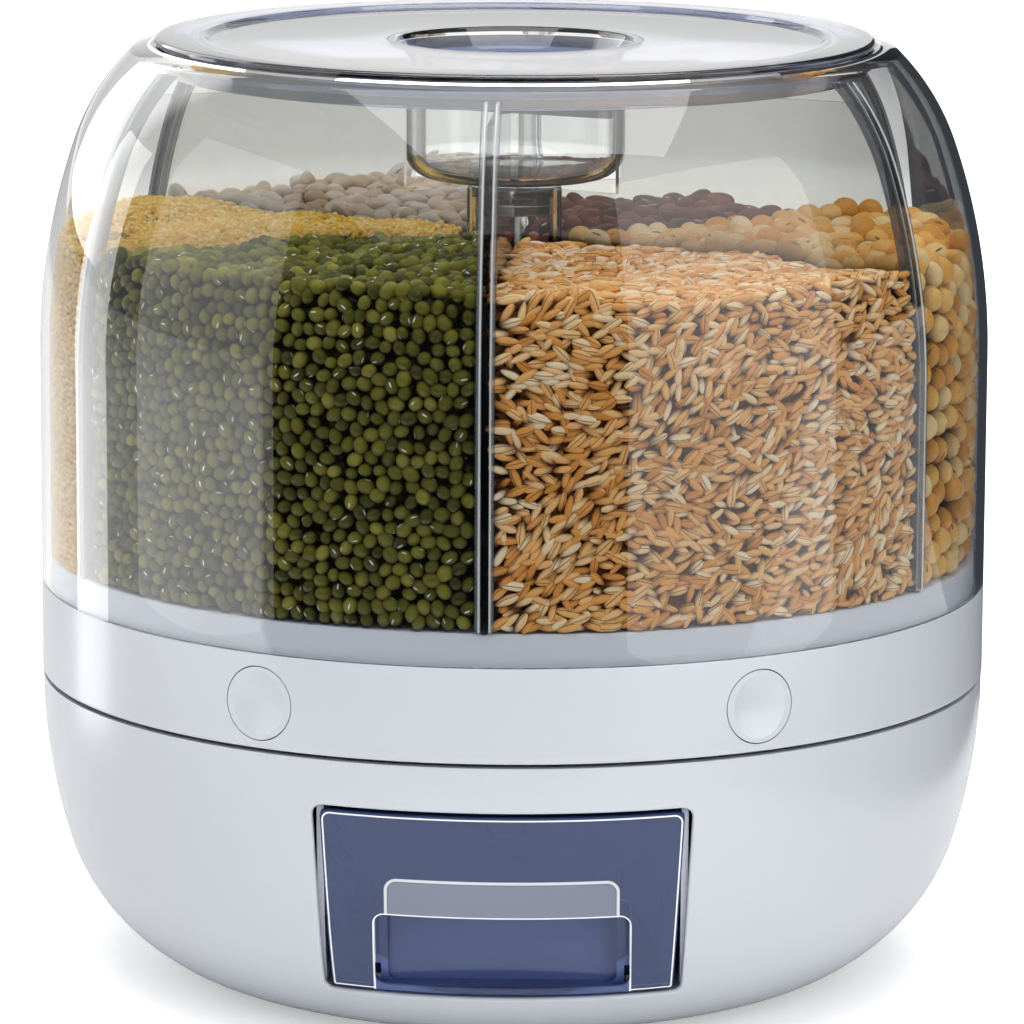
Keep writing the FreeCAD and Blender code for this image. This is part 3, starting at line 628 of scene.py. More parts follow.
def add_mesh(
    name: str, points: np.ndarray, faces: np.ndarray, material: Material, sharp_deg: float = 40.0,
) -> Piece:
    """Put arrays into a new mesh object at the origin.

    Args:
        name: The piece's name.
        points: n rows of x, y, z in metres.
        faces: m rows of three or four point numbers, counter-clockwise from outside.
        material: Its finish.
        sharp_deg: Edges that turn more than this stay sharp.

    Returns:
        The new object.
    """
    corners = faces.shape[1]
    mesh = bpy.data.meshes.new(name)
    mesh.vertices.add(len(points))
    mesh.vertices.foreach_set("co", points.astype(np.float32).ravel())
    mesh.loops.add(faces.size)
    mesh.loops.foreach_set("vertex_index", faces.astype(np.int32).ravel())
    mesh.polygons.add(len(faces))
    mesh.polygons.foreach_set("loop_start", np.arange(0, faces.size, corners, dtype=np.int32))
    mesh.update(calc_edges=True)
    mesh.validate()
    mesh.shade_smooth()
    if sharp_deg < 180:
        mesh.set_sharp_from_angle(angle=math.radians(sharp_deg))
    mesh.materials.append(material)
    piece = bpy.data.objects.new(name, mesh)
    bpy.context.scene.collection.objects.link(piece)
    return piece


def grid_faces(rows: int, columns: int, close_rows: bool, close_columns: bool) -> np.ndarray:
    """Quads over a grid of points that is stored row by row.

    Args:
        rows: Number of rows of points.
        columns: Points in a row.
        close_rows: Whether the last row joins the first.
        close_columns: Whether the last column joins the first.

    Returns:
        The quads' point numbers.
    """
    r = np.arange(rows if close_rows else rows - 1)[:, None]
    c = np.arange(columns if close_columns else columns - 1)[None, :]
    r1 = (r + 1) % rows
    c1 = (c + 1) % columns
    quads = np.stack([r * columns + c, r * columns + c1, r1 * columns + c1, r1 * columns + c], -1)
    return quads.reshape(-1, 4)


def rounded(corners: list[tuple[float, ...]], steps: int = 6) -> np.ndarray:
    """Sample a closed outline whose corners may be rounded.

    A corner (a, b, radius) becomes an arc that touches both its sides, radius / tan(half angle) away.

    Args:
        corners: (a, b) or (a, b, radius) in millimetres.
        steps: Points on each arc.

    Returns:
        Rows of a, b in metres.
    """
    out = []
    count = len(corners)
    for i, corner in enumerate(corners):
        here = np.array(corner[:2])
        if len(corner) == 2:
            out.append(here[None])
            continue
        back = unit(np.array(corners[i - 1][:2]) - here)
        ahead = unit(np.array(corners[(i + 1) % count][:2]) - here)
        half = math.acos(float(np.clip(back @ ahead, -1, 1))) / 2
        middle = unit(back + ahead)
        centre = here + middle * corner[2] / math.sin(half)
        sweep = np.linspace(-1, 1, steps) * (math.pi / 2 - half)
        side = unit(back - middle * (back @ middle))
        turn = np.stack([np.cos(sweep), np.sin(sweep)], -1)
        out.append(centre - corner[2] * turn @ np.stack([middle, side]))
    return np.concatenate(out) * MM


def lathe(
    name: str, outline: np.ndarray, material: Material, segments: int = 256, sharp_deg: float = 40.0,
) -> Piece:
    """Turn a closed outline about Z: point(i, j) = (r_j cos a_i, r_j sin a_i, z_j).

    Args:
        name: The piece's name.
        outline: Rows of r, z in metres, counter-clockwise with r to the right.
        material: Its finish.
        segments: Steps around.
        sharp_deg: Edges that turn more than this stay sharp.

    Returns:
        The new object.
    """
    turn = np.linspace(0, 2 * math.pi, segments, endpoint=False)
    points = np.stack([
        np.outer(np.cos(turn), outline[:, 0]),
        np.outer(np.sin(turn), outline[:, 0]),
        np.broadcast_to(outline[:, 1], (segments, len(outline))),
    ], -1).reshape(-1, 3)
    faces = grid_faces(segments, len(outline), True, True)
    return close_poles(add_mesh(name, points, faces[:, ::-1], material, sharp_deg), sharp_deg)


def close_poles(piece: Piece, sharp_deg: float) -> Piece:
    """Merge the points that a turned outline stacks up on its axis, and face the shell outwards."""
    work = bmesh.new()
    work.from_mesh(piece.data)
    bmesh.ops.remove_doubles(work, verts=work.verts, dist=1e-7)
    bmesh.ops.dissolve_degenerate(work, edges=work.edges, dist=1e-8)
    write_shell(work, piece)
    piece.data.shade_smooth()
    piece.data.set_sharp_from_angle(angle=math.radians(sharp_deg))
    return piece


def tangent_arcs(
    r: float, z: float, arcs: tuple[tuple[float, float], ...], wall: float, steps: int = 24,
) -> np.ndarray:
    """Sample tangent arcs that bend inwards from the vertical, in millimetres.

    Point = centre + (radius - wall) (cos a, sin a), with a from the last arc's end to this one's.

    Args:
        r: Radius where the chain starts.
        z: Height where it starts.
        arcs: (radius, end angle) pairs.
        wall: How far inside the chain to stay.
        steps: Points per arc.

    Returns:
        Rows of r, z in millimetres.
    """
    out = []
    angle = 0.0
    point = np.array([r - wall, z])
    for radius, end in arcs:
        centre = point - (radius - wall) * np.array([math.cos(angle), math.sin(angle)])
        sweep = np.linspace(angle, math.radians(end), steps)
        out.append(centre + (radius - wall) * np.stack([np.cos(sweep), np.sin(sweep)], -1))
        point = out[-1][-1]
        angle = math.radians(end)
    return np.concatenate([out[0]] + [o[1:] for o in out[1:]])


@dataclass
class Barrel:
    """The clear dome with its mouth, neck and the guide ribs beside the dividers."""

    radius: float = 145.0
    wall: float = 2.4
    foot_z: float = 123.4
    straight_z: float = 193.6
    arcs: tuple[tuple[float, float], ...] = ((193.0, 19.4), (72.0, 50.0))
    mouth_r: float = 109.7
    ledge_z: float = 286.2
    neck_r: float = 104.0
    neck_z: float = 278.3
    rib_t: float = 1.6
    rib_depth: float = 3.6
    rib_z: tuple[float, float] = (133.5, 281.5)
    rib_offset: float = 2.0
    rib_air: float = 0.05
    rib_round: float = 0.3
    rib_lines: int = 13
    rib_levels: int = 40

    def wall_line(self, wall: float) -> np.ndarray:
        """Rows of r, z in millimetres of the wall at a depth below its outer face, going up."""
        low = [[self.radius - wall, self.foot_z]]
        return np.concatenate([low, tangent_arcs(self.radius, self.straight_z, self.arcs, wall)])

    def inner_radius(self, z: np.ndarray) -> np.ndarray:
        """The inner face's radius at a height, both in millimetres."""
        line = self.wall_line(self.wall)
        return np.interp(z, line[:, 1], line[:, 0])

    def build(self, dividers: "Dividers") -> list[Piece]:
        """Turn the dome in one closed outline, and put two ribs beside each divider.

        Args:
            dividers: The panels that the ribs guide.

        Returns:
            The dome and its ribs.
        """
        outer = self.wall_line(0)
        outer = outer[outer[:, 1] < self.ledge_z - 0.4]
        outer = outer[outer[:, 0] > self.mouth_r]
        edge = np.interp(self.ledge_z, self.wall_line(0)[:, 1], self.wall_line(0)[:, 0])
        inner = self.wall_line(self.wall)
        inner = inner[inner[:, 0] > self.neck_r + self.wall + 0.3][::-1]
        mouth = rounded([
            (edge, self.ledge_z), (self.mouth_r, self.ledge_z + 0.6, 0.3),
            (self.mouth_r - 0.2, self.ledge_z, 0.3), (self.neck_r, self.ledge_z, 0.6),
            (self.neck_r, self.neck_z, 0.7),
            (self.neck_r + self.wall, self.neck_z, 0.7), tuple(inner[0]),
        ])[1:-1]
        outline = np.concatenate([outer * MM, mouth, inner * MM])
        dome = lathe("barrel_dome", outline, Stuff.CLEAR_SAN.material(), 320)
        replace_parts(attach(dome, "rotor"), "barrel")
        LOG.info("dome: %d points on its outline", len(outline))
        return [dome, self.ribs(dividers)]

    def ribs(self, dividers: "Dividers") -> Piece:
        """Build the ribs: a strip under the wall at each side of every divider."""
        levels = np.linspace(*self.rib_z, self.rib_levels)
        near = self.wall_line(self.wall + self.rib_air)
        deep = self.wall_line(self.wall + self.rib_depth)
        r_near = np.interp(levels, near[:, 1], near[:, 0])
        r_deep = np.interp(levels, deep[:, 1], deep[:, 0])
        share = np.linspace(0, 1, self.rib_lines)
        front = [((u - 0.5) * self.rib_t, r_near - self.rib_round * abs(2 * u - 1) ** 3, u) for u in share]
        ring = front + [(self.rib_t / 2, r_deep, 1.0), (-self.rib_t / 2, r_deep, 0.0)]
        strip = np.stack([np.stack([np.full_like(levels, x), -r, levels], -1) for x, r, _ in ring], 1)
        closed = [np.broadcast_to(end.mean(0), end.shape) for end in (strip[0], strip[-1])]
        strip = np.stack([closed[0], *strip, closed[1]])
        across = np.tile([u for _, _, u in ring], len(strip))
        points, faces, marks = [], [], []
        body = grid_faces(len(strip), len(ring), False, True)
        for angle in dividers.angles():
            for side in (-1, 1):
                faces.append((body if side > 0 else body[:, ::-1]) + sum(len(p) for p in points))
                mirrored = strip.reshape(-1, 3) * [-side, 1, 1] + [side * self.rib_offset, 0, 0]
                points.append(turn_z(mirrored * MM, angle))
                marks.append(across)
        finish = Stuff.RIB.material()
        ribs = add_mesh("barrel_guide_ribs", np.concatenate(points), np.concatenate(faces), finish)
        mark_points(ribs, "across", np.concatenate(marks))
        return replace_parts(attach(ribs, "rotor"), "barrel")


@dataclass
class Dividers:
    """Six clear panels that part the compartments, and the column they meet at."""

    first_deg: float = -2.1
    count: int = 6
    column_r: float = 14.5
    column_t: float = 1.9
    column_z: tuple[float, float] = (133.0, 241.0)
    cap_depth: float = 6.0
    cap_rise: float = 2.4

    def angles(self) -> list[float]:
        """Each panel's angle in degrees."""
        return [self.first_deg + 360 / self.count * k for k in range(self.count)]

    def build(self) -> list[Piece]:
        """Turn the column as a tube and its cap as a plug.

        Returns:
            The tube and the cap.
        """
        r, t = self.column_r, self.column_t
        low, top = self.column_z
        tube = lathe("centre_tube", rounded([
            (r - t, low), (r, low), (r, top, 0.4), (r - t, top, 0.4),
        ]), Stuff.CLEAR_SAN.material(), 128)
        plug, foot, head = r - t - 0.1, top - self.cap_depth, top + self.cap_rise
        cap = lathe("centre_tube_cap", rounded([
            (0, foot), (plug, foot, 0.5), (plug, top), (r, top, 0.3), (r, head, 1.2), (0, head),
        ]), Stuff.CLEAR_SAN.material(), 128)
        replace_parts(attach(tube, "rotor"), "centre_column")
        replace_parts(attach(cap, "rotor"), "column_cap")
        LOG.info("column: tube and cap")
        return [tube, cap]


@dataclass
class Lid:
    """The clear lid: a stepped disc with a skirt, and the cup in its middle."""

    top_z: float = 289.3
    thick: float = 2.6
    radius: float = 109.1
    step_r: float = 93.0
    step_z: float = 287.9
    skirt_r: float = 98.0
    skirt_t: float = 2.2
    skirt_z: float = 279.4
    bead: float = 0.8
    bead_h: float = 1.6
    cup_mouth_r: float = 39.0
    cup_r: float = 33.8
    cup_t: float = 2.4
    cup_z: float = 246.0

    def build(self) -> list[Piece]:
        """Turn the disc and the cup.

        Returns:
            The disc and the cup.
        """
        low = self.top_z - self.thick
        under = low - 1.4
        inside = self.skirt_r - self.skirt_t
        bead_r, bead_z = self.skirt_r + self.bead, self.skirt_z + self.bead_h
        disc = lathe("lid_top", rounded([
            (self.cup_mouth_r, under), (inside, under, 1.0), (inside, self.skirt_z, 0.4),
            (bead_r, self.skirt_z, 0.4), (bead_r, bead_z, 0.3), (self.skirt_r, bead_z, 0.3),
            (self.skirt_r, low, 0.4), (self.radius, low, 0.5), (self.radius, self.top_z, 1.2),
            (self.step_r + 1.4, self.top_z, 0.8), (self.step_r, self.step_z, 0.6),
            (self.cup_mouth_r, self.step_z),
        ]), Stuff.CLEAR_LID.material(), 320)
        z, t, mouth = self.step_z, self.cup_t, self.cup_mouth_r - 0.1
        cup = lathe("lid_finger_cup", rounded([
            (0, self.cup_z), (self.cup_r, self.cup_z, 9), (self.cup_r, z - 8, 5), (mouth, z - 3.6, 0.3),
            (mouth, z, 0.3), (mouth - 2.5, z, 1), (self.cup_r - t, z - 7, 5),
            (self.cup_r - t, self.cup_z + t, 9 - t), (0, self.cup_z + t),
        ], 10), Stuff.CLEAR_SAN.material(), 192)
        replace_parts(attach(disc, "lid"), "lid_disc")
        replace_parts(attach(cup, "lid"), "lid_cup")
        LOG.info("lid: disc and cup")
        return [disc, cup]


@dataclass(frozen=True)
class Grain:
    """One kind of grain: its half lengths in millimetres, its shape and its skin."""

    name: str
    half: tuple[float, float, float]
    skin: SeedCoat
    # The colour of the block inside the heap: painted shade for the seeds deep in it.
    core: str
    fill_z: float
    slices: int = 12
    stacks: int = 8
    bend: float = 0.0
    taper: float = 0.0
    size_spread: float = 0.07
    crowd: float = 0.92
    slant: float = 0.0
    sway: float = 3.0
    stray: float = 1.0
    settle: int = 8
    tip: float = 0.35
    layers: int = 2

    def seed_mesh(self) -> tuple[np.ndarray, np.ndarray]:
        """The seed about its own centre, long axis X, with a taper to +X.

        Point = (half_x cos s, half_y sin s cos t, half_z sin s sin t), then narrowed and bent to +Y.

        Returns:
            Points in units of the half lengths, and triangles.
        """
        s = np.linspace(0, math.pi, self.stacks + 1)[1:-1]
        t = np.linspace(0, 2 * math.pi, self.slices, endpoint=False)
        rings = np.stack([
            np.broadcast_to(np.cos(s)[:, None], (len(s), len(t))),
            np.outer(np.sin(s), np.cos(t)),
            np.outer(np.sin(s), np.sin(t)),
        ], -1).reshape(-1, 3)
        points = np.concatenate([rings, [[1, 0, 0], [-1, 0, 0]]])
        quads = grid_faces(len(s), len(t), False, True)
        faces = np.concatenate([quads[:, [0, 1, 2]], quads[:, [0, 2, 3]]])
        first = np.arange(self.slices)
        after = (first + 1) % self.slices
        last = (len(s) - 1) * self.slices
        front = np.stack([np.full(self.slices, len(rings)), after, first], -1)
        back = np.stack([np.full(self.slices, len(rings) + 1), last + first, last + after], -1)
        faces = np.concatenate([faces, front, back])
        x = points[:, 0]
        narrow = 1 - self.taper * x - 0.15 * self.taper * x * x
        points = points * np.stack([np.ones_like(x), narrow, narrow], -1)
        points[:, 1] += self.bend * (x * x - 0.4)
        return points, faces[:, ::-1]


@dataclass
class Heap:
    """One compartment's grain: a skin of separate seeds round a dark core."""

    grain: Grain
    barrel: Barrel
    start_deg: float
    end_deg: float
    floor_z: float = 133.2
    wall_r: float = 142.4
    column_r: float = 15.5
    side_gap: float = 1.2
    rib_gap: float = 2.9
    wall_air: float = 0.2
    pitch: float = 1.35
    rng: np.random.Generator = field(default_factory=lambda: np.random.default_rng(SEED))

    def surface(self, x: np.ndarray, y: np.ndarray) -> np.ndarray:
        """The heap's top in millimetres: the fill height and low swells."""
        k = self.start_deg
        swell = np.sin(x / 17 + k) * np.cos(y / 23 - k) + 0.6 * np.sin(x / 8 - y / 11)
        return self.grain.fill_z + 1.1 * swell

    def layer_step(self) -> float:
        """How far one layer of seeds lies behind the next, in millimetres."""
        return self.pitch * sum(self.grain.half) / 3

    def heading(self, u: np.ndarray, v: np.ndarray) -> np.ndarray:
        """The way that long seeds lie at a place, in radians: neighbours lie alike, as poured grain does."""
        k = self.start_deg
        drift = np.sin(u / 17 + k) * np.cos(v / 14 - 0.7 * k) + 0.7 * np.sin(u / 9 - v / 12 + 2 * k)
        return self.grain.slant + self.grain.sway * drift

    def spread(self, width: float, height: float) -> tuple[np.ndarray, np.ndarray]:
        """Scatter seeds over a rectangle and push apart those that overlap.

        Each seed is an ellipse with the two longer half lengths, turned to its heading. Two seeds are too
        close where the gap between them, measured in the first one's half lengths, is under twice crowd.

        Args:
            width: The rectangle's width in millimetres.
            height: Its height.

        Returns:
            Rows of places and each seed's heading.
        """
        a, b = self.grain.half[0], sum(self.grain.half[1:]) / 2
        pitch = 2 * self.grain.crowd * math.sqrt(a * b)
        rows = max(2, int(height / (pitch * 0.87)))
        columns = max(2, int(width / pitch))
        u, v = np.meshgrid((np.arange(columns) + 0.5) / columns, (np.arange(rows) + 0.5) / rows)
        u = (u + (np.arange(rows) % 2)[:, None] * 0.5 / columns) * width
        places = np.stack([u.ravel(), v.ravel() * height], -1)
        places += self.rng.uniform(-0.45, 0.45, places.shape) * pitch
        own = self.rng.normal(0, self.grain.stray, len(places))
        for _ in range(self.grain.settle):
            heading = self.heading(places[:, 0], places[:, 1]) + own
            places = np.clip(places + self.push(places, heading, a, b), 0, [width, height])
        return places, self.heading(places[:, 0], places[:, 1]) + own

    def push(self, places: np.ndarray, heading: np.ndarray, a: float, b: float) -> np.ndarray:
        """How far each seed gives way to its neighbours, as rows of u, v."""
        tree = KDTree(len(places))
        for i, (u, v) in enumerate(places):
            tree.insert((u, v, 0), i)
        tree.balance()
        count = 7 if a < 1.5 * b else 13
        near = np.array([[j for _, j, _ in tree.find_n((u, v, 0), count)][1:] for u, v in places])
        away = places[:, None, :] - places[near]
        cos, sin = np.cos(heading)[:, None], np.sin(heading)[:, None]
        along = (away[..., 0] * cos + away[..., 1] * sin) / a
        across = (away[..., 1] * cos - away[..., 0] * sin) / b
        reach = np.hypot(along, across) / (2 * self.grain.crowd) + 0.02
        give = np.clip(1 / reach - 1, 0, 1) * 0.3
        return (away * give[..., None]).sum(1)

    def turns(self, heading: np.ndarray, away: np.ndarray) -> np.ndarray:
        """Rotation matrices that lay each seed along the surface whose normal is away.

        Args:
            heading: Each seed's angle on the surface, from level.
            away: The surface's normal at each seed.

        Returns:
            One matrix per seed, with the seed's own axes as columns.
        """
        count = len(heading)
        tip = self.rng.normal(0, self.grain.tip, count)
        roll = self.rng.uniform(0, 2 * math.pi, count)
        flip = math.pi * self.rng.integers(0, 2, count)
        flat = np.abs(away[:, 2]) > 0.9
        side = unit(np.cross(np.where(flat[:, None], (0.0, 1.0, 0.0), UP), away))
        other = np.cross(away, side)
        spin = heading + flip
        along = np.cos(spin)[:, None] * side + np.sin(spin)[:, None] * other
        along = np.cos(tip)[:, None] * along + np.sin(tip)[:, None] * away
        second = unit(np.cross(away, along))
        third = np.cross(along, second)
        y = np.cos(roll)[:, None] * second + np.sin(roll)[:, None] * third
        z = np.cross(along, y)
        return np.stack([along, y, z], -1)

    def reach(self, turns: np.ndarray, sizes: np.ndarray, away: np.ndarray) -> np.ndarray:
        """How far each turned ellipsoid reaches along away: sqrt(sum (half_i (axis_i . away))^2)."""
        along = np.einsum("nij,ni->nj", turns, away)
        return np.sqrt(((along * sizes) ** 2).sum(1))

    def wall_seeds(self, layer: int) -> tuple[np.ndarray, ...]:
        """Seeds that lean on the barrel. Deeper layers stand one seed further in."""
        arc = math.radians(self.end_deg - self.start_deg) * self.wall_r
        margin = self.rib_gap + 0.8 * self.grain.half[1]
        places, heading = self.spread(arc - 2 * margin, self.grain.fill_z + 4 - self.floor_z)
        angle = math.radians(self.start_deg) + (places[:, 0] + margin) / self.wall_r
        away = np.pad(towards(angle), ((0, 0), (0, 1)))
        z = self.floor_z + places[:, 1]
        wall = self.barrel.inner_radius(z)
        x, y = away[:, 0] * wall, away[:, 1] * wall
        keep = z < self.surface(x, y) - 0.3 * min(self.grain.half)
        away, z = away[keep], z[keep]
        count = len(z)
        turns = self.turns(heading[keep], away)
        sizes = self.sizes(count)
        inset = self.reach(turns, sizes, away) + self.rng.uniform(0, 0.5, count) * self.grain.half[2]
        inset += layer * self.layer_step()
        up = self.reach(turns, sizes, np.broadcast_to(UP, away.shape))
        centres = away * (self.barrel.inner_radius(z) - self.wall_air - inset)[:, None]
        centres[:, 2] = np.maximum(z, self.floor_z + up)
        return centres, turns, sizes

    def top_seeds(self, layer: int) -> tuple[np.ndarray, ...]:
        """Seeds on the heap's top. Deeper layers lie one seed lower."""
        size = 2 * self.wall_r
        places, heading = self.spread(size, size)
        places = places - self.wall_r
        reach = float(self.barrel.inner_radius(self.grain.fill_z)) - self.wall_air
        inside = np.hypot(places[:, 0], places[:, 1]) < reach - self.grain.half[0]
        heading = heading[inside]
        x, y = places[inside].T
        angle = (np.degrees(np.arctan2(x, -y)) - self.start_deg) % 360
        radius = np.hypot(x, y)
        wide = self.end_deg - self.start_deg
        edge = np.minimum(angle, wide - angle)
        clear = radius * np.sin(np.radians(np.clip(edge, 0, 90)))
        keep = (angle < wide) & (clear > self.side_gap + self.grain.half[2]) & (radius > self.column_r + 2)
        x, y = x[keep], y[keep]
        count = len(x)
        away = np.broadcast_to(UP, (count, 3))
        turns = self.turns(heading[keep], away)
        sizes = self.sizes(count)
        drop = self.reach(turns, sizes, away) * self.rng.uniform(0.5, 1.5, count)
        drop += layer * self.layer_step()
        return np.stack([x, y, self.surface(x, y) - drop], -1), turns, sizes

    def sizes(self, count: int) -> np.ndarray:
        """Half lengths of count seeds."""
        scale = 1 + self.rng.normal(0, self.grain.size_spread, (count, 1))
        own = 1 + self.rng.normal(0, 0.4 * self.grain.size_spread, (count, 3))
        return np.array(self.grain.half) * scale * own

    def piece(self, name: str, centres: np.ndarray, turns: np.ndarray, sizes: np.ndarray) -> Piece:
        """Repeat the seed at every place in one mesh, with its tint and its own coordinates."""
        shape, faces = self.grain.seed_mesh()
        local = shape[None] * sizes[:, None, :]
        points = np.einsum("nij,nkj->nki", turns, local) + centres[:, None, :]
        count = len(centres)
        many = (faces[None] + (np.arange(count) * len(shape))[:, None, None]).reshape(-1, 3)
        piece = add_mesh(name, points.reshape(-1, 3) * MM, many, self.grain.skin.material(), 180)
        mark_points(piece, "tint", np.repeat(self.rng.uniform(0, 1, count), len(shape)))
        mark_points(piece, "seed", np.tile(shape, (count, 1)))
        x, y, z = points[..., 0], points[..., 1], points[..., 2]
        # The depth below the heap's skin sets where the seeds' painted shade falls.
        below = np.minimum(self.barrel.inner_radius(z) - np.hypot(x, y), self.surface(x, y) - z)
        typical = sum(self.grain.half[1:]) / 2
        mark_points(piece, "depth", (below / typical).ravel())
        return self.join(piece)

    def join(self, piece: Piece) -> Piece:
        """Let a piece turn with the rotor, and stand for the compartment's packed heap of the same crop."""
        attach(piece, "rotor")
        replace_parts(piece, self.grain.name.removesuffix("s") + "_heap")
        return piece

    def core(self) -> Piece:
        """A dark block behind the seeds, so no light leaks through the heap; its dark colour is painted
        shade.
        """
        inset = (self.grain.layers + 0.2) * self.layer_step()
        steps = np.radians(np.linspace(self.start_deg, self.end_deg, 30))
        outer = float(self.barrel.inner_radius(self.grain.fill_z)) - self.wall_air - inset
        inner = self.column_r + 1.5
        ring = np.concatenate([towards(steps) * outer, towards(steps[::-1]) * inner])
        middle = math.radians((self.start_deg + self.end_deg) / 2)
        gap = self.side_gap + 0.3 * inset
        centre = towards(middle) * gap / math.sin(math.radians(self.end_deg - self.start_deg) / 2)
        ring = centre + ring * (1 - 1.2 * np.linalg.norm(centre) / outer)
        top = self.surface(ring[:, 0], ring[:, 1]) - inset
        low = np.column_stack([ring, np.full(len(ring), self.floor_z)])
        high = np.column_stack([ring, top])
        points = np.concatenate([low, high]) * MM
        count = len(ring)
        sides = grid_faces(2, count, False, True)
        # Painted shade: the core's dark colour stands in for the shaded seeds deep in the heap.
        dust_and_deep_shade = Finish(f"{self.grain.name}_shade", self.grain.core).material()
        piece = add_mesh(f"{self.grain.name}_core", points, sides, dust_and_deep_shade, 30)
        work = bmesh.new()
        work.from_mesh(piece.data)
        work.verts.ensure_lookup_table()
        work.faces.new([work.verts[i] for i in range(count)][::-1])
        work.faces.new([work.verts[i + count] for i in range(count)])
        write_shell(work, piece)
        return self.join(piece)

    def build(self) -> list[Piece]:
        """Pour the compartment.

        Returns:
            The seeds at the wall, the seeds on top and the core.
        """
        made = [self.core()]
        for where, scatter in (("wall", self.wall_seeds), ("top", self.top_seeds)):
            for layer in range(self.grain.layers):
                centres, turns, sizes = scatter(layer)
                made.append(self.piece(f"{self.grain.name}_{where}_{layer + 1}", centres, turns, sizes))
                LOG.info("%s: %d seeds at the %s, layer %d", self.grain.name, len(centres), where, layer + 1)
        return made


class Crop(Enum):
    """The six fillings, in order about the column from the drawer's side towards +X."""

    OATS = Grain("oats", (3.6, 1.46, 1.2), SeedCoat("hulled_oat_groats", "#f4b868", (
        (0.0, "#d8913f"), (0.3, "#eeab5a"), (0.6, "#f9c37c"), (0.85, "#fddaa6"), (1.0, "#ffecca"),
    ), 0.36, 0.1, crease="#7a4515", wrinkle_mm=0.8, shade="#6a3812", shade_from=0.6, shade_to=1.6),
        "#5a3414", 228.5, 10, 9, taper=0.14, crowd=0.74, slant=0.3, sway=0.45, stray=0.5, settle=16, tip=0.3)
    SOY = Grain("soybeans", (4.3, 4.0, 3.8), SeedCoat("dry_soybeans", "#fac168", (
        (0.0, "#e09a38"), (0.35, "#f5b350"), (0.7, "#fccb74"), (1.0, "#ffe2a8"),
    ), 0.28, 0.1, mark="#7d5a30", mark_at=1.0, shade="#4a2b0c", shade_from=0.5, shade_to=1.5),
        "#2a1a08", 230.5, 18, 12, crowd=0.96)
    RED = Grain("red_beans", (5.2, 3.4, 3.1), SeedCoat("dry_red_brown_beans", "#6b352b", (
        (0.0, "#421a16"), (0.4, "#632b22"), (0.8, "#803f33"), (1.0, "#9a5545"),
    ), 0.18, 0.12, mark="#d8c5a8", mark_at=0.9, shade="#0c0403", shade_from=0.35, shade_to=1.3),
        "#0a0403", 223.0, 16, 12, bend=0.14, crowd=0.96)
    BEIGE = Grain("beige_beans", (4.9, 3.3, 3.0), SeedCoat("dry_beige_beans", "#f0dfc6", (
        (0.0, "#d6bc98"), (0.4, "#e8d2b2"), (0.8, "#f4e4cb"), (1.0, "#fbf0e0"),
    ), 0.3, 0.12, mark="#8b6c4c", mark_at=0.9, shade="#4b3826", shade_from=0.35, shade_to=1.3),
        "#2c2014", 230.0, 16, 12, bend=0.12, crowd=0.96)
    MILLET = Grain("millets", (1.08, 1.0, 0.95), SeedCoat("hulled_yellow_millet", "#fccd48", (
        (0.0, "#f0b226"), (0.4, "#fac53e"), (0.8, "#ffd968"), (1.0, "#ffeba4"),
    ), 0.34, 0.08, shade="#b07c1a", shade_from=0.5, shade_to=1.5),
        "#8a5f14", 230.0, 7, 5, crowd=0.98, layers=1)
    MUNG = Grain("mung_beans", (2.66, 2.24, 2.16), SeedCoat("dry_mung_beans", "#6a671e", (
        (0.0, "#393a11"), (0.12, "#4f4f16"), (0.5, "#66641d"), (0.88, "#7d7a29"), (1.0, "#98903d"),
    ), 0.18, 0.1, mark="#fbf9f0", mark_at=1.0, shade="#080903", shade_from=0.3, shade_to=1.25),
        "#060702", 232.0, 14, 10, crowd=0.92)


class Seen(Enum):
    """Which rays a lamp reaches."""

    ALL = (True, True)
    LIT = (True, False)
    MIRRORED = (False, True)


@dataclass(frozen=True)
class SoftBox:
    """A soft box that faces the object. Its power is radiance x pi x area.

    Attributes:
        name: Its name.
        azimuth: Degrees about Z from the camera's side towards +X.
        distance: Metres from the axis.
        z: Height of its middle.
        size: Width and height.
        radiance: How bright its face is, where 1 is a white background.
        aim_z: The height on the axis that it faces.
        fade: The share of its width over which it fades at its left and its right, seen from the object.
        seen: Whether it lights, shows in reflections, or both.
    """

    name: str
    azimuth: float
    distance: float
    z: float
    size: tuple[float, float]
    radiance: float
    aim_z: float = 0.15
    fade: tuple[float, float] = (0.0, 0.0)
    seen: Seen = Seen.LIT

    def hang(self, turn_deg: float) -> Piece:
        """Hang the lamp.

        Args:
            turn_deg: The camera's own turn, which the azimuth counts from.

        Returns:
            The lamp.
        """
        data = bpy.data.lights.new(self.name, "AREA")
        data.shape = "RECTANGLE"
        data.size, data.size_y = self.size
        data.energy = self.radiance * math.pi * self.size[0] * self.size[1]
        if any(self.fade):
            data.use_nodes = True
            graph = Graph(data.node_tree)
            across = graph.axes(graph.add("ShaderNodeNewGeometry").outputs["Parametric"])[0]
            rise = graph.span(across, 0.0, 1.0, 0.0, max(self.fade[0], 0.001))
            fall = graph.span(across, 1.0, 0.0, 1.0 - max(self.fade[1], 0.001), 1.0)
            glow = graph.add("ShaderNodeEmission", {"Strength": graph.times(rise, fall)})
            graph.add("ShaderNodeOutputLight", {"Surface": glow.outputs["Emission"]})
        a = math.radians(self.azimuth + turn_deg)
        place = Vector((math.sin(a) * self.distance, -math.cos(a) * self.distance, self.z))
        lamp = bpy.data.objects.new(self.name, data)
        lamp.location = place
        lamp.rotation_euler = (place - Vector((0, 0, self.aim_z))).to_track_quat("Z", "Y").to_euler()
        lamp.visible_camera = False
        lamp.visible_transmission = False
        lamp.visible_diffuse, lamp.visible_glossy = self.seen.value
        bpy.context.scene.collection.objects.link(lamp)
        return lamp


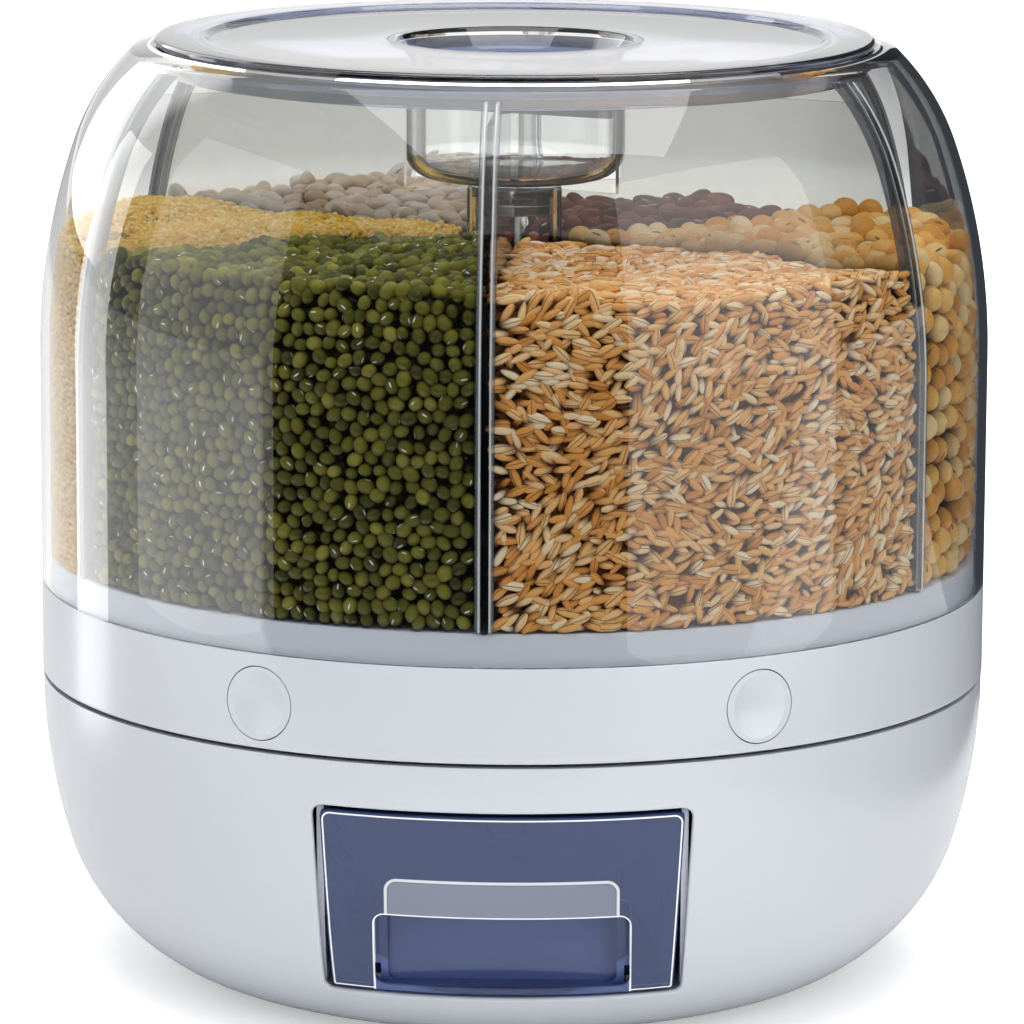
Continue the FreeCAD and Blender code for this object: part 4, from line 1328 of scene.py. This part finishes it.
@dataclass(frozen=True)
class CardPaint(Finish):
    """A card's paint, which looks the same under any light."""

    def surface(self, graph: Graph) -> Socket:
        """A glow in the card's colour."""
        settings = {"Color": hex_linear(self.colour), "Strength": 1.0}
        return graph.add("ShaderNodeEmission", settings).outputs["Emission"]


@dataclass(frozen=True)
class FloorPaper(Finish):
    """Matt paper that glows white further out, where the camera or a clear wall looks at it.

    Attributes:
        through_glass: How much of the glow a clear wall lets through.
        glow_from: Metres from the middle where the glow begins to rise.
        glow_to: Where it is strongest.
    """

    through_glass: float = 0.32
    glow_from: float = 0.3
    glow_to: float = 1.2

    def surface(self, graph: Graph) -> Socket:
        """Paper, with the glow added for the rays that see it."""
        paper = graph.body({"Base Color": hex_linear(self.colour), "Roughness": 0.9})
        away = graph.vector("LENGTH", self.place(graph))["Value"]
        strength = graph.span(away, 0.4, 1.2, self.glow_from, self.glow_to)
        glow = graph.add("ShaderNodeEmission", {"Strength": strength}).outputs["Emission"]
        lit = graph.add("ShaderNodeAddShader", {0: paper, 1: glow}).outputs["Shader"]
        through = graph.times(graph.ray("Is Transmission Ray"), self.through_glass)
        return graph.cover(graph.largest(graph.ray("Is Camera Ray"), through), paper, lit)


@dataclass(frozen=True)
class Flag:
    """A dark card by the set. Only clear and glossy faces show it; it casts no shadow.

    Attributes:
        name: Its name.
        corners: Its corners in metres.
        colour: Its colour.
        through: Whether it also shows through clear walls.
    """

    name: str
    corners: tuple[tuple[float, float, float], ...]
    colour: str
    through: bool = False

    def stand(self) -> Piece:
        """Stand the card and mark it as backdrop."""
        paint = CardPaint(self.name, self.colour).material()
        card = add_mesh(self.name, np.array(self.corners), np.arange(len(self.corners))[None], paint)
        card.visible_camera = False
        card.visible_diffuse = False
        card.visible_shadow = False
        card.visible_transmission = self.through
        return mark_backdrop(card)


@dataclass
class Studio:
    """The floor, the lamps, the cards, the surroundings and the camera of the product shot."""

    camera_at: tuple[float, float, float] = (0.00203, -1.81327, 0.48326)
    pitch: float = 0.1873
    yaw: float = -0.0013
    roll: float = 0.0046
    turn_deg: float = 1.1
    lift: float = 0.002
    lens_mm: float = 210.36
    lamps: tuple[SoftBox, ...] = (
        SoftBox("top_box", 10, 0.3, 1.5, (1.4, 1.4), 3.5, seen=Seen.ALL),
        SoftBox("front_box", 14, 2.2, 0.9, (1.6, 1.2), 2.6),
        SoftBox("back_box", 184, 2.0, 0.62, (2.4, 0.9), 0.85, 0.28, seen=Seen.ALL),
        SoftBox("right_strip", 49.7, 0.658, 0.33, (0.62, 0.7), 1.7, 0.33, seen=Seen.MIRRORED),
        SoftBox("left_strip", -73.2, 0.717, 0.33, (0.52, 0.7), 1.3, 0.33, seen=Seen.MIRRORED),
        SoftBox("left_back_strip", -131.0, 0.9, 0.62, (0.6, 0.8), 3.2, 0.33, (0.0, 0.2), Seen.MIRRORED),
        SoftBox("left_near_strip", -105.8, 0.434, 0.19, (0.115, 0.38), 3.2, 0.19, seen=Seen.MIRRORED),
    )
    flags: tuple[Flag, ...] = (
        Flag("floor_flag", (
            (-0.605, -0.42, 0.003), (-2.7, -1.58, 0.003), (-2.7, -4.0, 0.003), (3.5, -4.0, 0.003),
            (3.5, -0.42, 0.003),
        ), "#191b1f", True),
        Flag("front_flag", (
            (-2.7, -4.0, 0.0), (3.5, -4.0, 0.0), (3.5, -4.0, 2.0), (-2.7, -4.0, 2.0),
        ), "#191b1f", True),
        Flag("left_flag", (
            (-2.7, -4.0, 0.0), (-2.7, -1.58, 0.0), (-2.7, -1.58, 2.0), (-2.7, -4.0, 2.0),
        ), "#191b1f", True),
        Flag("right_floor_flag", (
            (0.3, -0.42, 0.003), (3.5, -0.42, 0.003), (3.5, 2.6, 0.003), (0.12, 2.6, 0.003),
        ), "#1d2026"),
        Flag("right_flag", (
            (0.152, 0.36, 0.0), (0.9, 0.36, 0.0), (0.9, 0.36, 0.9), (0.152, 0.36, 0.9),
        ), "#3d4046", True),
    )

    def camera(self) -> Piece:
        """Stand the camera where the photograph was taken from.

        The view is fitted in a frame of its own, which is then turned about Z and lifted onto the feet.

        Returns:
            The camera.
        """
        w, p, q = self.yaw, self.pitch, self.roll
        ahead = Vector((math.sin(w) * math.cos(p), math.cos(w) * math.cos(p), -math.sin(p)))
        right = Vector((math.cos(w), -math.sin(w), 0))
        up = right.cross(ahead)
        r2 = math.cos(q) * right + math.sin(q) * up
        u2 = -math.sin(q) * right + math.cos(q) * up
        pose = Matrix((r2, u2, -ahead)).transposed().to_4x4()
        pose.translation = Vector(self.camera_at)
        turned = Matrix.Rotation(math.radians(self.turn_deg), 4, "Z") @ pose
        turned.translation.z += self.lift
        data = bpy.data.cameras.new("shot")
        data.lens = self.lens_mm
        data.sensor_width = 36
        data.clip_start = 0.05
        camera = bpy.data.objects.new("shot", data)
        camera.matrix_world = turned
        bpy.context.scene.collection.objects.link(camera)
        bpy.context.scene.camera = camera
        return camera

    def surroundings(self) -> None:
        """A pale room that is white to the camera, and dark behind the object on its right."""
        world = bpy.data.worlds.new("pale_room")
        world.use_nodes = True
        graph = Graph(world.node_tree)
        place = graph.add("ShaderNodeTexCoord").outputs["Generated"]
        x, y, z = graph.axes(place)
        height = graph.ramp(graph.span(z, 0.0, 1.0, -0.3, 1.0), (
            (0.0, "#aeaeae"), (0.3, "#c6c7c8"), (0.5, "#edeef0"), (1.0, "#ffffff"),
        ))
        right = graph.span(x, 0.0, 1.0, 0.25, 0.45)
        behind = graph.span(y, 0.0, 1.0, -0.1, 0.15)
        low = graph.span(z, 1.0, 0.0, 0.45, 0.8)
        room = graph.blend(graph.times(graph.times(right, behind), low), height, "#2c2f35")
        light = graph.add("ShaderNodeBackground", {"Color": room, "Strength": 0.5})
        white = graph.add("ShaderNodeBackground", {"Color": hex_linear("#ffffff"), "Strength": 1.0})
        light, white = light.outputs["Background"], white.outputs["Background"]
        graph.add("ShaderNodeOutputWorld", {"Surface": graph.cover(graph.ray("Is Camera Ray"), light, white)})
        bpy.context.scene.world = world

    def floor(self) -> None:
        """A wide pale floor that keeps the object's shadow and is white further out."""
        reach = 9.0
        points = np.array([[-reach, -reach, 0], [reach, -reach, 0], [reach, reach, 0], [-reach, reach, 0]])
        material = FloorPaper("matt_white_paper", "#fbfbfb").material()
        add_mesh("floor", points, np.array([[0, 1, 2, 3]]), material)

    def build(self) -> None:
        """Set up the whole studio."""
        self.camera()
        self.surroundings()
        self.floor()
        for lamp in self.lamps:
            lamp.hang(self.turn_deg)
        for flag in self.flags:
            flag.stand()
        bpy.context.scene.view_settings.view_transform = "Standard"
        LOG.info("studio: floor, %d lamps, %d cards, camera", len(self.lamps), len(self.flags))


def dress(frame: dict) -> None:
    """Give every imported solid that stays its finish, by its material slot in the record.
    """
    for part in frame["record"]["subparts"]:
        if part["node"].endswith("_heap"):
            continue
        piece = frame["nodes"][part["node"]]
        stuff = Stuff[part["material_slot"].upper()]
        if part["node"].startswith("divider_"):
            stuff = Stuff.PANEL
        if part["node"] == "drawer_front":
            stuff = Stuff.SMOKE_FRONT
        piece.data.materials.clear()
        piece.data.materials.append(stuff.material())


def squeeze_springs(
    frame: dict,
) -> None:
    """Give each gate spring that a joint lists as deforming a mesh of its own.
    """
    for joint in frame["record"]["behaviour"]["joints"]:
        for row in joint.get("deforming_nodes", []):
            spring = frame["nodes"][row["node"]]
            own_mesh(spring)
            LOG.info("spring: %s shortens with %s", row["node"], joint["name"])


def main() -> None:
    """Load the frame, add the looks and finish."""
    logging.basicConfig(level=logging.INFO, format="%(name)s: %(message)s")
    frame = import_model()
    dress(frame)
    squeeze_springs(frame)
    dividers = Dividers()
    barrel = Barrel()
    barrel.build(dividers)
    dividers.build()
    Lid().build()
    crops = list(Crop)
    for k, start in enumerate(dividers.angles()):
        end = start + 360 / dividers.count
        Heap(crops[k].value, barrel, start, end, rng=np.random.default_rng(SEED + k)).build()
    Studio().build()


if __name__ == "__main__":
    main()
